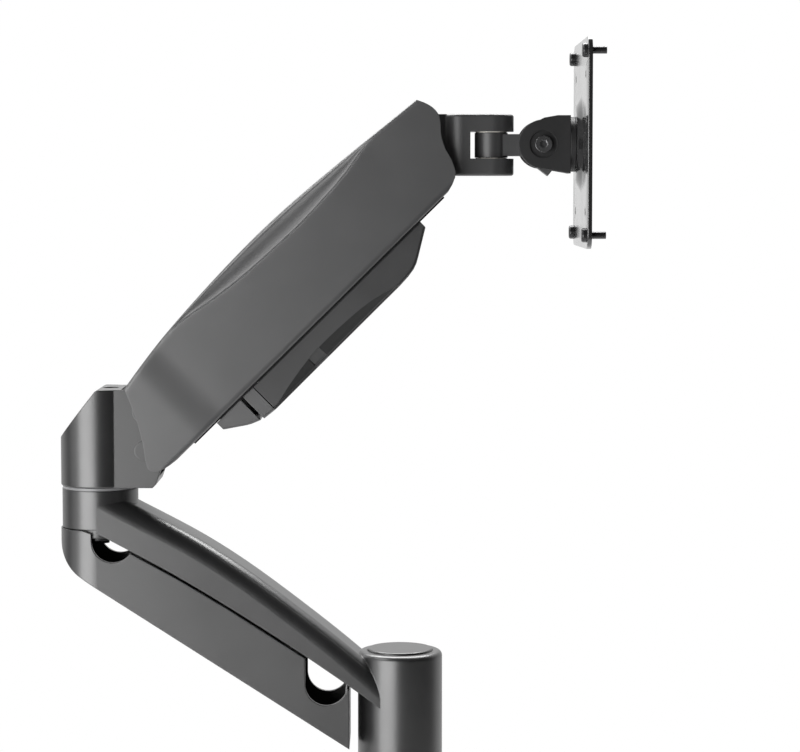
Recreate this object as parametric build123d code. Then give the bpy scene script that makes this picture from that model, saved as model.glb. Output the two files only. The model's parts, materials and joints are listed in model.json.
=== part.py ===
from build123d import *
from math import atan2, cos, pi, radians, sin
import os

# A gas-spring monitor arm that clamps to a desk edge. Millimetres, +Z up. The origin is where the
# post's axis meets the desk top. The head faces +X and every piece lies about the plane Y = 0.
os.makedirs("parts", exist_ok=True)

# ---------------------------------------------------------------- driving dimensions
# Clearances
RUN = 0.05               # radial running fit
FACE_GAP = 0.15          # between faces that slide on each other
SKIN_GAP = 0.4           # between a cover and what it closes over

# Base and clamp
PLATE_BACK, PLATE_FRONT = -57.0, 47.0
PLATE_HALF_WIDTH = 42.0
PAD_THICK = 2.0
PLATE_THICK = 10.0
PLATE_CORNER_R = 14.0
HUB_R = 30.0
HUB_TOP_R = 24.0
HUB_TOP = 24.0
POST_R = 14.0
POST_TOP = 94.0
POST_SPIGOT_R = 9.0
CLAMP_HALF_WIDTH = 28.0
CLAMP_THICK = 5.0
CLAMP_DEPTH = 100.0
JAW_FRONT = 8.0
FLANGE_FRONT = -18.0
CLAMP_AXIS_X = -24.0
CLAMP_SCREW_R = 5.0
CLAMP_SCREW_LENGTH = 112.0
CLAMP_NUT_R = 9.5
CLAMP_NUT_LENGTH = 12.0
DESK_THICK = 30.0
CLAMP_PAD_R = 24.0
CLAMP_PAD_THICK = 4.0
CLAMP_RUBBER = 2.0
KNOB_R = 20.0
KNOB_LENGTH = 16.0
KNOB_FLOOR = 5.0         # knob below the screw's end

# Lower arm
ELBOW_X = -170.0
ELBOW_R = 21.4
BASE_COLLAR_R = 24.0
COLLAR_BOTTOM = 27.0
COLLAR_TOP = 100.0
CAP_R = 18.5
COVER_R = 22.2
ELBOW_SEAM = 195.0       # underside of the turret
ELBOW_WASHER = 1.6
COVER_RIM = 171.0
CAST_WALL = 3.5
COVER_WALL = 2.4
BUSH_WALL = 2.0
ELBOW_SHAFT_R = 11.0
ELBOW_BORE_BOTTOM = 166.5
NOTCH_R = 11.8           # cable notches in the bottom cover's side walls
NOTCH_ELBOW = (-161.0, 165.0)
NOTCH_BASE = (-41.5, 84.0)
COVER_END = -28.5
SEAM_GAP = 1.2           # between the casting's lower edge and the cover's rim
CREST_ROUND = 10.0

# Turret and the parallel linkage
TURRET_R = 22.0
TURRET_TOP = 250.0
CHAMFER_X, CHAMFER_Z = -169.7, 221.8
REST_ANGLE = 44.6        # spring arm's slope at rest
ARM_LENGTH = 208.0       # between the rear and front pivots
PIVOT_X, PIVOT_Z = -143.0, 238.0
TIE_DROP = 22.0          # tie bar pivots below the arm's pivots
CHEEK_IN, CHEEK_OUT = 15.8, 19.6
EAR_R = 12.0
PIN_R = 4.0
TIE_PIN_R = 3.5
SLOT_BACK = -156.2
SLOT_FLOOR = 201.0

# Spring arm
CHANNEL_IN, CHANNEL_OUT = 12.0, 14.5
CHANNEL_HALF_HEIGHT = 12.0
TIE_IN, TIE_OUT = 9.6, 11.6
TIE_HALF_HEIGHT = 6.0
COVER_IN, COVER_OUT = 22.8, 25.4
TRAY_TOP, TRAY_BOTTOM = -30.6, -32.9
TRAY_HALF_WIDTH = 22.2
TROUGH_HALF_WIDTH = 20.5
TROUGH_WALL = 1.8
TROUGH_TOP = -33.1

# Gas spring, between a pin in the channel and the tension slider's pin
GAS_FRONT = 180.0        # along the arm from the rear pivot
GAS_ANCHOR = (8.0, -14.0)  # from the rear pivot, in X and Z
GAS_R = 9.0
GAS_WALL = 1.2
GAS_BODY_START = 12.0
GAS_BODY_LENGTH = 100.0
GAS_ROD_R = 4.0
GAS_PIN_R = 3.0
GAS_EYE_CLEAR = 3.8      # the open pivot's radial clearance
GAS_EYE_R = 9.4

# Tension adjuster
TENSION_X = -163.4
TENSION_R = 3.0
TENSION_HEAD_R = 4.4
SLIDER_HALF_WIDTH = 7.4
SLIDER_HALF_HEIGHT = 5.0

# Yoke, link and head
YOKE_BOTTOM, YOKE_TOP = 369.3, 403.6
YOKE_HALF_WIDTH = 13.0
TONGUE_HALF = 9.2
YOKE_EAR = 9.6
SWIVEL_X = 51.2
YOKE_EAR_R = 12.6
SLOT_X = 39.2
SWIVEL_PIN_R = 4.0
LINK_R = 9.3
LINK_NECK_HALF = 7.0
TILT_X, TILT_Z = 79.8, 386.9
TILT_R = 13.6
TILT_BOLT_R = 3.0
LINK_EYE_R = 9.2
LINK_EYE_HALF = 8.3
BRACKET_IN, BRACKET_OUT = 9.0, 14.0
BRACKET_RIGHT = 95.0
BRACKET_FLANGE = 5.0
DISC_R = 15.3
DISC_RIGHT = 98.2
DOME_R = 25.8
PLATE_REAR, PLATE_FACE = 101.4, 103.8
PLATE_HALF = 57.5
CENTRE_BOLT_R = 4.0
LINK_CLEAR_X = 89.6      # the centre bolt's end, clear of the link's eye
VESA_HOLE_R = 2.3
VESA_SCREW_R = 2.0
VESA_NECK_R = 1.8        # the shank inside the plate
VESA_100, VESA_75 = 50.0, 37.5  # half the patterns' spacings
VESA_HEAD_R = 3.9
VESA_HEAD = 3.0
VESA_SCREW_REACH = 8.0

# ---------------------------------------------------------------- derived places
SLOPE = radians(REST_ANGLE)
ALONG = Vector(cos(SLOPE), 0, sin(SLOPE))
UP_ARM = Vector(-sin(SLOPE), 0, cos(SLOPE))
PIVOT = Vector(PIVOT_X, 0, PIVOT_Z)
FRONT = PIVOT + ALONG * ARM_LENGTH
TIE_REAR = PIVOT - Vector(0, 0, TIE_DROP)
TIE_FRONT = FRONT - Vector(0, 0, TIE_DROP)
ANCHOR = PIVOT + Vector(GAS_ANCHOR[0], 0, GAS_ANCHOR[1])
GAS_PIN = PIVOT + ALONG * GAS_FRONT
CAST_TOP = ELBOW_SEAM - ELBOW_WASHER - FACE_GAP
CLAMP_PAD_TOP = -DESK_THICK
CLAMP_SCREW_TOP = CLAMP_PAD_TOP - CLAMP_RUBBER - CLAMP_PAD_THICK
CLAMP_SCREW_LOW = CLAMP_SCREW_TOP - CLAMP_SCREW_LENGTH
JAW_TOP = -CLAMP_DEPTH + CLAMP_THICK

SIDE = Plane(origin=(0, 0, 0), x_dir=(1, 0, 0), z_dir=(0, -1, 0))
ARM = Plane(origin=PIVOT, x_dir=ALONG, z_dir=(0, -1, 0))


# ---------------------------------------------------------------- helpers
def slab(plane, sketch, low, high):
    """A sketch on a side plane, made solid from Y = low to Y = high."""
    return extrude(plane.offset(-high) * sketch, amount=high - low)


def pair(solid):
    """The solid and its mirror image across Y = 0."""
    return solid + mirror(solid, about=Plane.XZ)


def outline(*points):
    return make_face(Polyline(*points, close=True))


def bar(start, end, r_start, r_end):
    """The outline drawn tight round two circles."""
    rounds = (Pos(*start) * Circle(r_start)).edges() + (Pos(*end) * Circle(r_end)).edges()
    return make_hull(rounds)


def cross_pin(at, radius, low, high):
    """A round solid along Y."""
    plane = Plane(origin=(at.X, high, at.Z), x_dir=(1, 0, 0), z_dir=(0, -1, 0))
    return extrude(plane * Circle(radius), amount=high - low)


def upright(x, radius, low, high):
    """A round solid along Z on the plane Y = 0."""
    return Pos(x, 0, low) * extrude(Circle(radius), amount=high - low)


def lengthwise(z, radius, low, high):
    """A round solid along X on the plane Y = 0."""
    plane = Plane(origin=(low, 0, z), x_dir=(0, 1, 0), z_dir=(1, 0, 0))
    return extrude(plane * Circle(radius), amount=high - low)


def block(x, y, z):
    """A box from three (low, high) pairs."""
    size = [high - low for low, high in (x, y, z)]
    middle = [(high + low) / 2 for low, high in (x, y, z)]
    return Pos(*middle) * Box(*size)


def hex_socket(across, depth):
    """The cutter for a key socket, opening at its origin towards +Z."""
    return Pos(0, 0, -depth) * extrude(RegularPolygon(across / 2, 6, major_radius=False), amount=depth)


def save(node, solid):
    solid.label = node
    export_step(solid, f"parts/{node}.step")


# ---------------------------------------------------------------- base and clamp
def base_pad():
    sheet = RectangleRounded(PLATE_FRONT - PLATE_BACK, 2 * PLATE_HALF_WIDTH, PLATE_CORNER_R)
    return Pos((PLATE_FRONT + PLATE_BACK) / 2, 0, 0) * extrude(sheet, amount=PAD_THICK)


def bracket_screw_places():
    return [Pos(x, y, PAD_THICK) for x in (-44.0, -28.0) for y in (-18.0, 18.0)]


def base_plate():
    sheet = RectangleRounded(PLATE_FRONT - PLATE_BACK, 2 * PLATE_HALF_WIDTH, PLATE_CORNER_R)
    plate = Pos((PLATE_FRONT + PLATE_BACK) / 2, 0, PAD_THICK) * extrude(sheet, amount=PLATE_THICK)
    plate = fillet(plate.faces().sort_by(Axis.Z)[-1].edges(), 3.0)
    hub = loft([Pos(0, 0, PAD_THICK + PLATE_THICK - 0.5) * Circle(HUB_R),
                Pos(0, 0, HUB_TOP) * Circle(HUB_TOP_R)])
    plate = plate + hub
    plate -= upright(0, POST_SPIGOT_R + RUN, 0, HUB_TOP + 1)
    pocket = block((PLATE_BACK - 1, FLANGE_FRONT + SKIN_GAP),
                   (-CLAMP_HALF_WIDTH - SKIN_GAP, CLAMP_HALF_WIDTH + SKIN_GAP),
                   (PAD_THICK - 1, PAD_THICK + CLAMP_THICK))
    plate -= pocket
    for place in bracket_screw_places():
        plate -= place * extrude(Circle(2.5 + RUN), amount=PLATE_THICK - 1.0)
    return plate


def base_post():
    post = upright(0, POST_R, HUB_TOP, POST_TOP) + upright(0, POST_SPIGOT_R, PAD_THICK + 4, HUB_TOP)
    post = chamfer(post.edges().sort_by(Axis.Z)[-1], 1.0)
    post -= upright(0, 3.0 + RUN, POST_TOP - 16, POST_TOP + 1)
    post -= upright(0, 4.0 + RUN, PAD_THICK, 22)
    return post


def post_screw():
    """The screw that draws the post down on the base plate, from below."""
    screw = upright(0, 7.5, PAD_THICK + 0.2, PAD_THICK + 4) + upright(0, 4.0, PAD_THICK + 4, 20)
    return screw - Pos(0, 0, PAD_THICK + 0.2) * Rot(180, 0, 0) * hex_socket(6, 3)


def post_washer():
    """The washer that keeps the lower arm down on the post, with its screw above it."""
    return upright(0, 17.5, POST_TOP, POST_TOP + 2) - upright(0, 3.0 + RUN, 0, 99)


def post_top_screw():
    screw = upright(0, 5.2, POST_TOP + 2, POST_TOP + 4.6) + upright(0, 3.0, POST_TOP - 14, POST_TOP + 2)
    return screw - Pos(0, 0, POST_TOP + 4.6) * hex_socket(4, 2)


def clamp_bracket():
    """The steel strap: a flange under the base plate, a back and a jaw."""
    top = PAD_THICK + CLAMP_THICK
    back = PLATE_BACK - CLAMP_THICK
    profile = outline((FLANGE_FRONT, top), (back, top), (back, -CLAMP_DEPTH), (JAW_FRONT, -CLAMP_DEPTH),
                      (JAW_FRONT, JAW_TOP), (PLATE_BACK, JAW_TOP), (PLATE_BACK, PAD_THICK),
                      (FLANGE_FRONT, PAD_THICK))
    strap = slab(SIDE, profile, -CLAMP_HALF_WIDTH, CLAMP_HALF_WIDTH)
    outer = strap.edges().filter_by(Axis.Y).group_by(Axis.X)[0]
    strap = fillet(outer, 6.0)
    ends = strap.edges().filter_by(Axis.Z).group_by(Axis.X)[-1]
    strap = fillet(ends, 10.0)
    strap -= upright(CLAMP_AXIS_X, CLAMP_SCREW_R + RUN + 0.3, -CLAMP_DEPTH - 1, JAW_TOP + 1)
    for place in bracket_screw_places():
        strap -= place * Pos(0, 0, -1) * extrude(Circle(2.7), amount=CLAMP_THICK + 2)
        strap -= place * Pos(0, 0, -1) * extrude(Circle(4.8), amount=3.4)
    return strap


def bracket_screws():
    screws = []
    for place in bracket_screw_places():
        head = Pos(0, 0, 0.1) * extrude(Circle(4.6), amount=2.3)
        shank = Pos(0, 0, 2.4) * extrude(Circle(2.5), amount=PLATE_THICK - 4)
        screws.append(place * (head + shank - Rot(180, 0, 0) * Pos(0, 0, -0.1) * hex_socket(3, 1.6)))
    return Compound(children=screws)


def clamp_nut():
    """The threaded boss welded under the jaw."""
    boss = upright(CLAMP_AXIS_X, CLAMP_NUT_R, -CLAMP_DEPTH - CLAMP_NUT_LENGTH, -CLAMP_DEPTH)
    return boss - upright(CLAMP_AXIS_X, CLAMP_SCREW_R + RUN, -CLAMP_DEPTH - 99, 0)


def clamp_screw():
    rod = upright(CLAMP_AXIS_X, CLAMP_SCREW_R, CLAMP_SCREW_LOW, CLAMP_SCREW_TOP - FACE_GAP)
    return chamfer(rod.edges().sort_by(Axis.Z)[-1], 1.5)


def clamp_knob():
    """A round knob with finger scallops, fixed on the screw's lower end."""
    low = CLAMP_SCREW_LOW - KNOB_FLOOR
    knob = upright(0, KNOB_R, low, low + KNOB_LENGTH)
    knob = fillet(knob.edges(), 2.5)
    for turn in range(6):
        scallop = Rot(0, 0, 60 * turn) * Pos(KNOB_R + 3, 0, low - 1)
        knob -= scallop * extrude(Circle(6.5), amount=KNOB_LENGTH + 2)
    knob -= upright(0, CLAMP_SCREW_R, CLAMP_SCREW_LOW, low + KNOB_LENGTH + 1)
    return Pos(CLAMP_AXIS_X, 0, 0) * knob


def clamp_pad():
    """The pressure plate and the socket that the screw's end turns in."""
    low = CLAMP_PAD_TOP - CLAMP_RUBBER - CLAMP_PAD_THICK
    plate = upright(CLAMP_AXIS_X, CLAMP_PAD_R, low, low + CLAMP_PAD_THICK)
    plate = plate + upright(CLAMP_AXIS_X, 9.0, low - 7, low)
    return plate - upright(CLAMP_AXIS_X, CLAMP_SCREW_R + RUN, low - 8, low)


def clamp_pad_rubber():
    return upright(CLAMP_AXIS_X, CLAMP_PAD_R - 0.5, CLAMP_PAD_TOP - CLAMP_RUBBER, CLAMP_PAD_TOP)


# ---------------------------------------------------------------- lower arm
# Side views in X and Z: the casting's crest and its lower edge, and the bottom cover's floor.
CREST = [(ELBOW_X, 196.0), (-147.0, 183.5), (-113.7, 165.8), (-85.3, 147.6), (-56.9, 126.5),
         (-25.7, 101.5), (0.0, 78.0)]
SEAM = [(ELBOW_X, 169.8), (-151.0, 159.6), (-123.2, 144.3), (-95.3, 127.4), (-53.9, 100.6), (0.0, 62.0)]
FLOOR = [(-192.2, 152.8), (-176.0, 142.3), (COVER_END, 47.2)]
FLOOR_CORNER = (-166.2, 166.9)   # centre of the round under the elbow
FLOOR_CORNER_R = 26.0
SCREW_BOSS_R = 4.0
COVER_SCREW_XS = (-118.0, -66.0)


def lowered(points, drop):
    return [(x, z - drop) for x, z in points]


def beam_side(drop, top_drop):
    """The area between the crest and the seam, each moved down by its own drop."""
    crest = lowered(CREST, top_drop)
    seam = lowered(SEAM, drop)
    edges = Spline(*crest) + Line(crest[-1], seam[-1]) + Spline(*reversed(seam)) + Line(seam[0], crest[0])
    return make_face(edges)


def lower_arm_casting():
    beam = slab(SIDE, beam_side(0, 0), -ELBOW_R, ELBOW_R)
    crest_edges = [edge for edge in beam.edges()
                   if abs(abs(edge.center().Y) - ELBOW_R) < 0.01 and edge.length > 150
                   and edge.center().Z > 135]
    beam = fillet(crest_edges, CREST_ROUND)
    beam -= slab(SIDE, beam_side(40, CAST_WALL), -ELBOW_R + CAST_WALL, ELBOW_R - CAST_WALL)
    beam &= block((ELBOW_X, 1), (-40, 40), (0, CAST_TOP))
    collar = upright(ELBOW_X, ELBOW_R, COVER_RIM + SKIN_GAP, CAST_TOP)
    skirt = upright(ELBOW_X, COVER_R - COVER_WALL - SKIN_GAP, ELBOW_BORE_BOTTOM, COVER_RIM + 1)
    column = upright(0, BASE_COLLAR_R, COLLAR_BOTTOM, COLLAR_TOP)
    column = fillet(column.edges().sort_by(Axis.Z)[-1], 3.0)
    cast = beam + collar + skirt + column
    for x in COVER_SCREW_XS:
        boss_top = crest_height(x + SCREW_BOSS_R) - 1.5
        boss = upright(x, SCREW_BOSS_R, floor_height(x) + COVER_WALL + 3, boss_top)
        cast += boss
        cast -= upright(x, 1.5, floor_height(x), floor_height(x) + 24)
    cast -= upright(ELBOW_X, ELBOW_SHAFT_R + BUSH_WALL, ELBOW_BORE_BOTTOM - 30, CAST_TOP + 1)
    cast -= upright(0, POST_R + BUSH_WALL, 0, POST_TOP)
    cast -= upright(0, CAP_R + 0.1, POST_TOP - FACE_GAP, COLLAR_TOP + 30)
    return cast


def height_on(points, x):
    """The height at X on straight runs between the points."""
    for (x0, z0), (x1, z1) in zip(points, points[1:]):
        if x0 <= x <= x1:
            return z0 + (z1 - z0) * (x - x0) / (x1 - x0)
    raise ValueError(x)


def crest_height(x):
    return height_on(CREST, x)


def floor_height(x):
    return height_on(FLOOR, x)


def cover_block(inset, rim_rise):
    """The bottom cover's envelope, set in by a wall, with its rim raised for a cutter."""
    plan_r = COVER_R - inset
    prism = extrude(bar((ELBOW_X, 0), (0, 0), plan_r, plan_r), amount=COVER_RIM + rim_rise)
    slope = atan2(FLOOR[1][1] - FLOOR[2][1], FLOOR[2][0] - FLOOR[1][0])
    rise = inset / cos(slope)
    end = COVER_END - inset
    rim_end = SEAM[-1][1] + (SEAM[-2][1] - SEAM[-1][1]) * COVER_END / SEAM[-2][0]
    rim = [(x, z - SEAM_GAP + rim_rise) for x, z in SEAM[:-1]]
    corner = [(FLOOR_CORNER[0] - (FLOOR_CORNER_R - inset) * cos(angle),
               FLOOR_CORNER[1] - (FLOOR_CORNER_R - inset) * sin(angle))
              for angle in (pi / 2 - slope, radians(32), radians(8))]
    left = FLOOR[0][0] - 10
    line = Polyline(corner[2], (left, corner[2][1] + 2), (left, COVER_RIM + rim_rise),
                    (-178.0, COVER_RIM + rim_rise), *rim, (end, rim_end - SEAM_GAP + rim_rise),
                    (end, floor_height(end) + rise), corner[0])
    side = slab(SIDE, make_face(line + ThreePointArc(*corner)), -40, 40)
    return prism & side


def lower_arm_cover():
    """The bottom cover: a trough whose rim follows the casting's lower edge."""
    cover = cover_block(0, 0)
    cover -= cover_block(COVER_WALL, 60)
    for x, z in (NOTCH_ELBOW, NOTCH_BASE):
        cover -= slab(SIDE, Pos(x, z) * Circle(NOTCH_R), -40, 40)
        cover -= block((x - NOTCH_R, x + NOTCH_R), (-40, 40), (z, z + 30))
    for x in COVER_SCREW_XS:
        cover += upright(x, 4.6, floor_height(x) - 1.0, floor_height(x) + COVER_WALL + 3 - FACE_GAP)
        cover -= upright(x, 1.7, 0, 200)
        cover -= upright(x, 3.2, 0, floor_height(x) + 1.4)
    return cover


def cover_screws():
    screws = []
    for x in COVER_SCREW_XS:
        low = floor_height(x) + 1.4
        screw = upright(x, 2.9, low - 2.0, low) + upright(x, 1.45, low, low + 16)
        screws.append(screw - Pos(x, 0, low - 2.0) * Rot(180, 0, 0) * hex_socket(2, 1.2))
    return Compound(children=screws)


def ring(x, r_in, r_out, low, high):
    return upright(x, r_out, low, high) - upright(x, r_in, low - 1, high + 1)


def base_bushes():
    """The flanged lower bush that the arm stands on, and the plain upper one."""
    lower = ring(0, POST_R + RUN, POST_R + BUSH_WALL, COLLAR_BOTTOM, COLLAR_BOTTOM + 20)
    lower = lower + ring(0, POST_R + RUN, HUB_TOP_R - 2, HUB_TOP + FACE_GAP, COLLAR_BOTTOM)
    upper = ring(0, POST_R + RUN, POST_R + BUSH_WALL, POST_TOP - 18, POST_TOP - 0.4)
    return Compound(children=[lower, upper])


def base_cap():
    cap = upright(0, CAP_R, COLLAR_TOP - 1.2, COLLAR_TOP + 1.2)
    return fillet(cap.edges().sort_by(Axis.Z)[-1], 1.0)


def elbow_washer():
    """The thin ring seen as a bright seam under the turret."""
    return ring(ELBOW_X, ELBOW_SHAFT_R + RUN, ELBOW_R - 0.3, CAST_TOP, CAST_TOP + ELBOW_WASHER)


def elbow_bush():
    return ring(ELBOW_X, ELBOW_SHAFT_R + RUN, ELBOW_SHAFT_R + BUSH_WALL, ELBOW_BORE_BOTTOM, CAST_TOP)


# ---------------------------------------------------------------- turret
ELBOW_SHAFT_TOP = ELBOW_SEAM + 14.0
CAVITY_FLOOR = 212.5
SHOULDER_ROUND = 3.0


def turret_housing():
    """The elbow column with its sloping shoulder, and the two cheeks that hold the arm's pins."""
    column = upright(ELBOW_X, TURRET_R, ELBOW_SEAM, TURRET_TOP)
    column = fillet(column.edges().sort_by(Axis.Z)[0], 0.8)
    ears = outline((ELBOW_X, ELBOW_SEAM), (-138.5, ELBOW_SEAM), (-136.5, 197.0), (PIVOT_X + EAR_R, 213.0),
                   (PIVOT_X + EAR_R, PIVOT_Z), (PIVOT_X, TURRET_TOP), (ELBOW_X, TURRET_TOP))
    ears = ears + Pos(PIVOT_X, PIVOT_Z) * Circle(EAR_R)
    body = column + slab(SIDE, ears, -CHEEK_OUT, CHEEK_OUT)
    shoulder = outline((CHAMFER_X, TURRET_TOP), (ELBOW_X - TURRET_R, CHAMFER_Z), (ELBOW_X - 40, CHAMFER_Z),
                       (ELBOW_X - 40, TURRET_TOP + 1), (CHAMFER_X, TURRET_TOP + 1))
    body -= slab(SIDE, shoulder, -40, 40)
    bend = [edge for edge in body.edges().filter_by(Axis.Y) if abs(edge.center().Z - TURRET_TOP) < 0.1
            and abs(edge.center().X - CHAMFER_X) < 0.1]
    body = fillet(bend, SHOULDER_ROUND)
    body -= block((SLOT_BACK, PIVOT_X + 30), (-CHEEK_IN, CHEEK_IN), (SLOT_FLOOR, TURRET_TOP + 5))
    cavity = SLIDER_HALF_WIDTH + 0.4
    body -= block((TENSION_X - 6.5, SLOT_BACK + 1), (-cavity, cavity), (CAVITY_FLOOR, TURRET_TOP - 12))
    body -= upright(ELBOW_X, ELBOW_SHAFT_R, ELBOW_SEAM - 1, ELBOW_SHAFT_TOP)
    body -= upright(TENSION_X, TENSION_R + RUN, CAVITY_FLOOR - 3, TURRET_TOP + 1)
    body -= upright(TENSION_X, TENSION_HEAD_R + 0.3, TURRET_TOP - 5, TURRET_TOP + 1)
    body -= cross_pin(PIVOT, PIN_R + 0.01, -40, 40)
    body -= cross_pin(TIE_REAR, TIE_PIN_R + 0.01, -40, 40)
    return body


def elbow_shaft():
    low = ELBOW_BORE_BOTTOM
    shaft = upright(ELBOW_X, ELBOW_SHAFT_R, low, ELBOW_SHAFT_TOP)
    return shaft - upright(ELBOW_X, 3.0 + RUN, low - 1, low + 20)


def elbow_retainer():
    """The washer under the elbow shaft that holds the turret down."""
    return ring(ELBOW_X, 3.0 + RUN, 15.5, ELBOW_BORE_BOTTOM - 1.8, ELBOW_BORE_BOTTOM - FACE_GAP)


def elbow_screw():
    top = ELBOW_BORE_BOTTOM - 1.8
    screw = upright(ELBOW_X, 5.0, top - 3, top) + upright(ELBOW_X, 3.0, top, top + 18)
    return screw - Pos(ELBOW_X, 0, top - 3) * Rot(180, 0, 0) * hex_socket(4, 2)


def headed_pin(at, radius, head_r, half, head=1.8):
    """A pin across the plane Y = 0, riveted over at both ends."""
    pin = cross_pin(at, radius, -half, half)
    return pin + pair(cross_pin(at, head_r, half, half + head))


def rear_pin():
    """The main pivot pin, through the turret's cheeks."""
    return headed_pin(PIVOT, PIN_R, 6.5, CHEEK_OUT)


def tie_pins_rear():
    """Two shoulder screws, so that the space between them is free for the gas spring."""
    side = cross_pin(TIE_REAR, TIE_PIN_R, TIE_IN - 0.4, CHEEK_OUT)
    side = side + cross_pin(TIE_REAR, 5.5, CHEEK_OUT, CHEEK_OUT + 1.8)
    return Compound(children=[side, mirror(side, about=Plane.XZ)])


def tension_screw():
    head = upright(TENSION_X, TENSION_HEAD_R, TURRET_TOP - 5, TURRET_TOP - 0.6)
    screw = head + upright(TENSION_X, TENSION_R, CAVITY_FLOOR - 2.5, TURRET_TOP - 5)
    return screw - Pos(TENSION_X, 0, TURRET_TOP - 0.6) * hex_socket(4.5, 3)


def tension_slider():
    """The nut block on the tension screw and the fork that carries the gas spring's pin."""
    low, high = ANCHOR.Z - SLIDER_HALF_HEIGHT, ANCHOR.Z + SLIDER_HALF_HEIGHT
    slider = block((TENSION_X - 5.8, -155.0), (-SLIDER_HALF_WIDTH, SLIDER_HALF_WIDTH), (low, high))
    prong = block((-156.0, ANCHOR.X), (4.7, SLIDER_HALF_WIDTH), (low, high))
    prong = prong + cross_pin(ANCHOR, SLIDER_HALF_HEIGHT, 4.7, SLIDER_HALF_WIDTH)
    slider = slider + pair(prong)
    slider -= cross_pin(ANCHOR, GAS_PIN_R, -40, 40)
    return slider - upright(TENSION_X, TENSION_R + RUN, low - 1, high + 1)


def slider_pin():
    return cross_pin(ANCHOR, GAS_PIN_R, -SLIDER_HALF_WIDTH - 0.6, SLIDER_HALF_WIDTH + 0.6)


# ---------------------------------------------------------------- spring arm
# Outlines in the arm's own side view: S along the arm from the rear pivot, D square to it.
TOP_LINE = [(2.1, 17.1), (40.4, 22.6), (99.7, 25.9), (146.1, 24.7), (229.1, 16.9)]
FRONT_LINE = [(231.6, 2.1), (229.0, -3.5), (223.5, -8.5), (219.7, -16.3), (218.2, -23.3), (215.1, -29.6)]
BOTTOM_LINE = [(210.0, -32.0), (-5.0, -32.0), (-16.5, -29.6), (-20.5, -24.5)]
REAR_MIDDLE = (-6.0, -2.0)
WEB_START, WEB_END = 16.0, 192.0
TRAY_START, TRAY_END = 8.0, 203.0
TROUGH = [(53.5, TROUGH_TOP), (184.0, TROUGH_TOP), (183.6, -37.5), (169.1, -46.4), (162.9, -49.4),
          (151.5, -50.4), (53.5, -50.8)]
BAND = [(45.2, TROUGH_TOP), (53.0, TROUGH_TOP), (53.0, -50.8), (45.2, -50.0)]
END_PIECE = [(24.6, TROUGH_TOP), (43.0, TROUGH_TOP), (43.0, -49.2), (35.5, -45.8), (25.7, -39.2)]
COVER_BOSSES = [(30.0, 4.0), (105.0, 2.0), (170.0, 4.0)]
YOKE_NOTCH_START = 186.0
TURRET_NOTCH_END = 24.0
TURRET_NOTCH_HALF = 20.6
END_HOOK, BAND_HOOK, COVER_HOOKS = 30.0, 49.0, (75.0, 120.0, 165.0)
HOOK_IN, HOOK_OUT = 16.2, 17.6
TRAY_LUGS = (20.0, 98.0, 180.0)


def arm_channel():
    """The steel channel that carries the load: two side plates and a web between them."""
    plate = bar((0, 0), (ARM_LENGTH, 0), CHANNEL_HALF_HEIGHT, CHANNEL_HALF_HEIGHT)
    channel = pair(slab(ARM, plate, CHANNEL_IN, CHANNEL_OUT))
    web = outline((WEB_START, CHANNEL_HALF_HEIGHT - 2.5), (WEB_END, CHANNEL_HALF_HEIGHT - 2.5),
                  (WEB_END, CHANNEL_HALF_HEIGHT), (WEB_START, CHANNEL_HALF_HEIGHT))
    channel = channel + slab(ARM, web, -CHANNEL_IN - 0.5, CHANNEL_IN + 0.5)
    channel -= cross_pin(PIVOT, PIN_R + BUSH_WALL, -40, 40)
    channel -= cross_pin(FRONT, PIN_R + 0.01, -40, 40)
    channel -= cross_pin(GAS_PIN, GAS_PIN_R + 0.01, -40, 40)
    for s, d in COVER_BOSSES:
        channel -= slab(ARM, Pos(s, d) * Circle(1.6), -40, 40)
    return channel


def rear_bushes():
    """Flanged bushes between the channel and the rear pin."""
    bush = cross_pin(PIVOT, PIN_R + BUSH_WALL, CHANNEL_IN, CHANNEL_OUT)
    bush = bush + cross_pin(PIVOT, 8.5, CHANNEL_OUT, CHEEK_IN - FACE_GAP)
    bush -= cross_pin(PIVOT, PIN_R + RUN, 0, 40)
    return Compound(children=[bush, mirror(bush, about=Plane.XZ)])


def side_outline():
    """A side cover's outline: sculpted top, scalloped front end and bowed rear edge."""
    top = Spline(*TOP_LINE)
    tip = Line(TOP_LINE[-1], FRONT_LINE[0])
    front = Spline(*FRONT_LINE)
    bottom = Polyline(FRONT_LINE[-1], *BOTTOM_LINE)
    rear = ThreePointArc(BOTTOM_LINE[-1], REAR_MIDDLE, TOP_LINE[0])
    return make_face(top + tip + front + bottom + rear)


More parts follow.
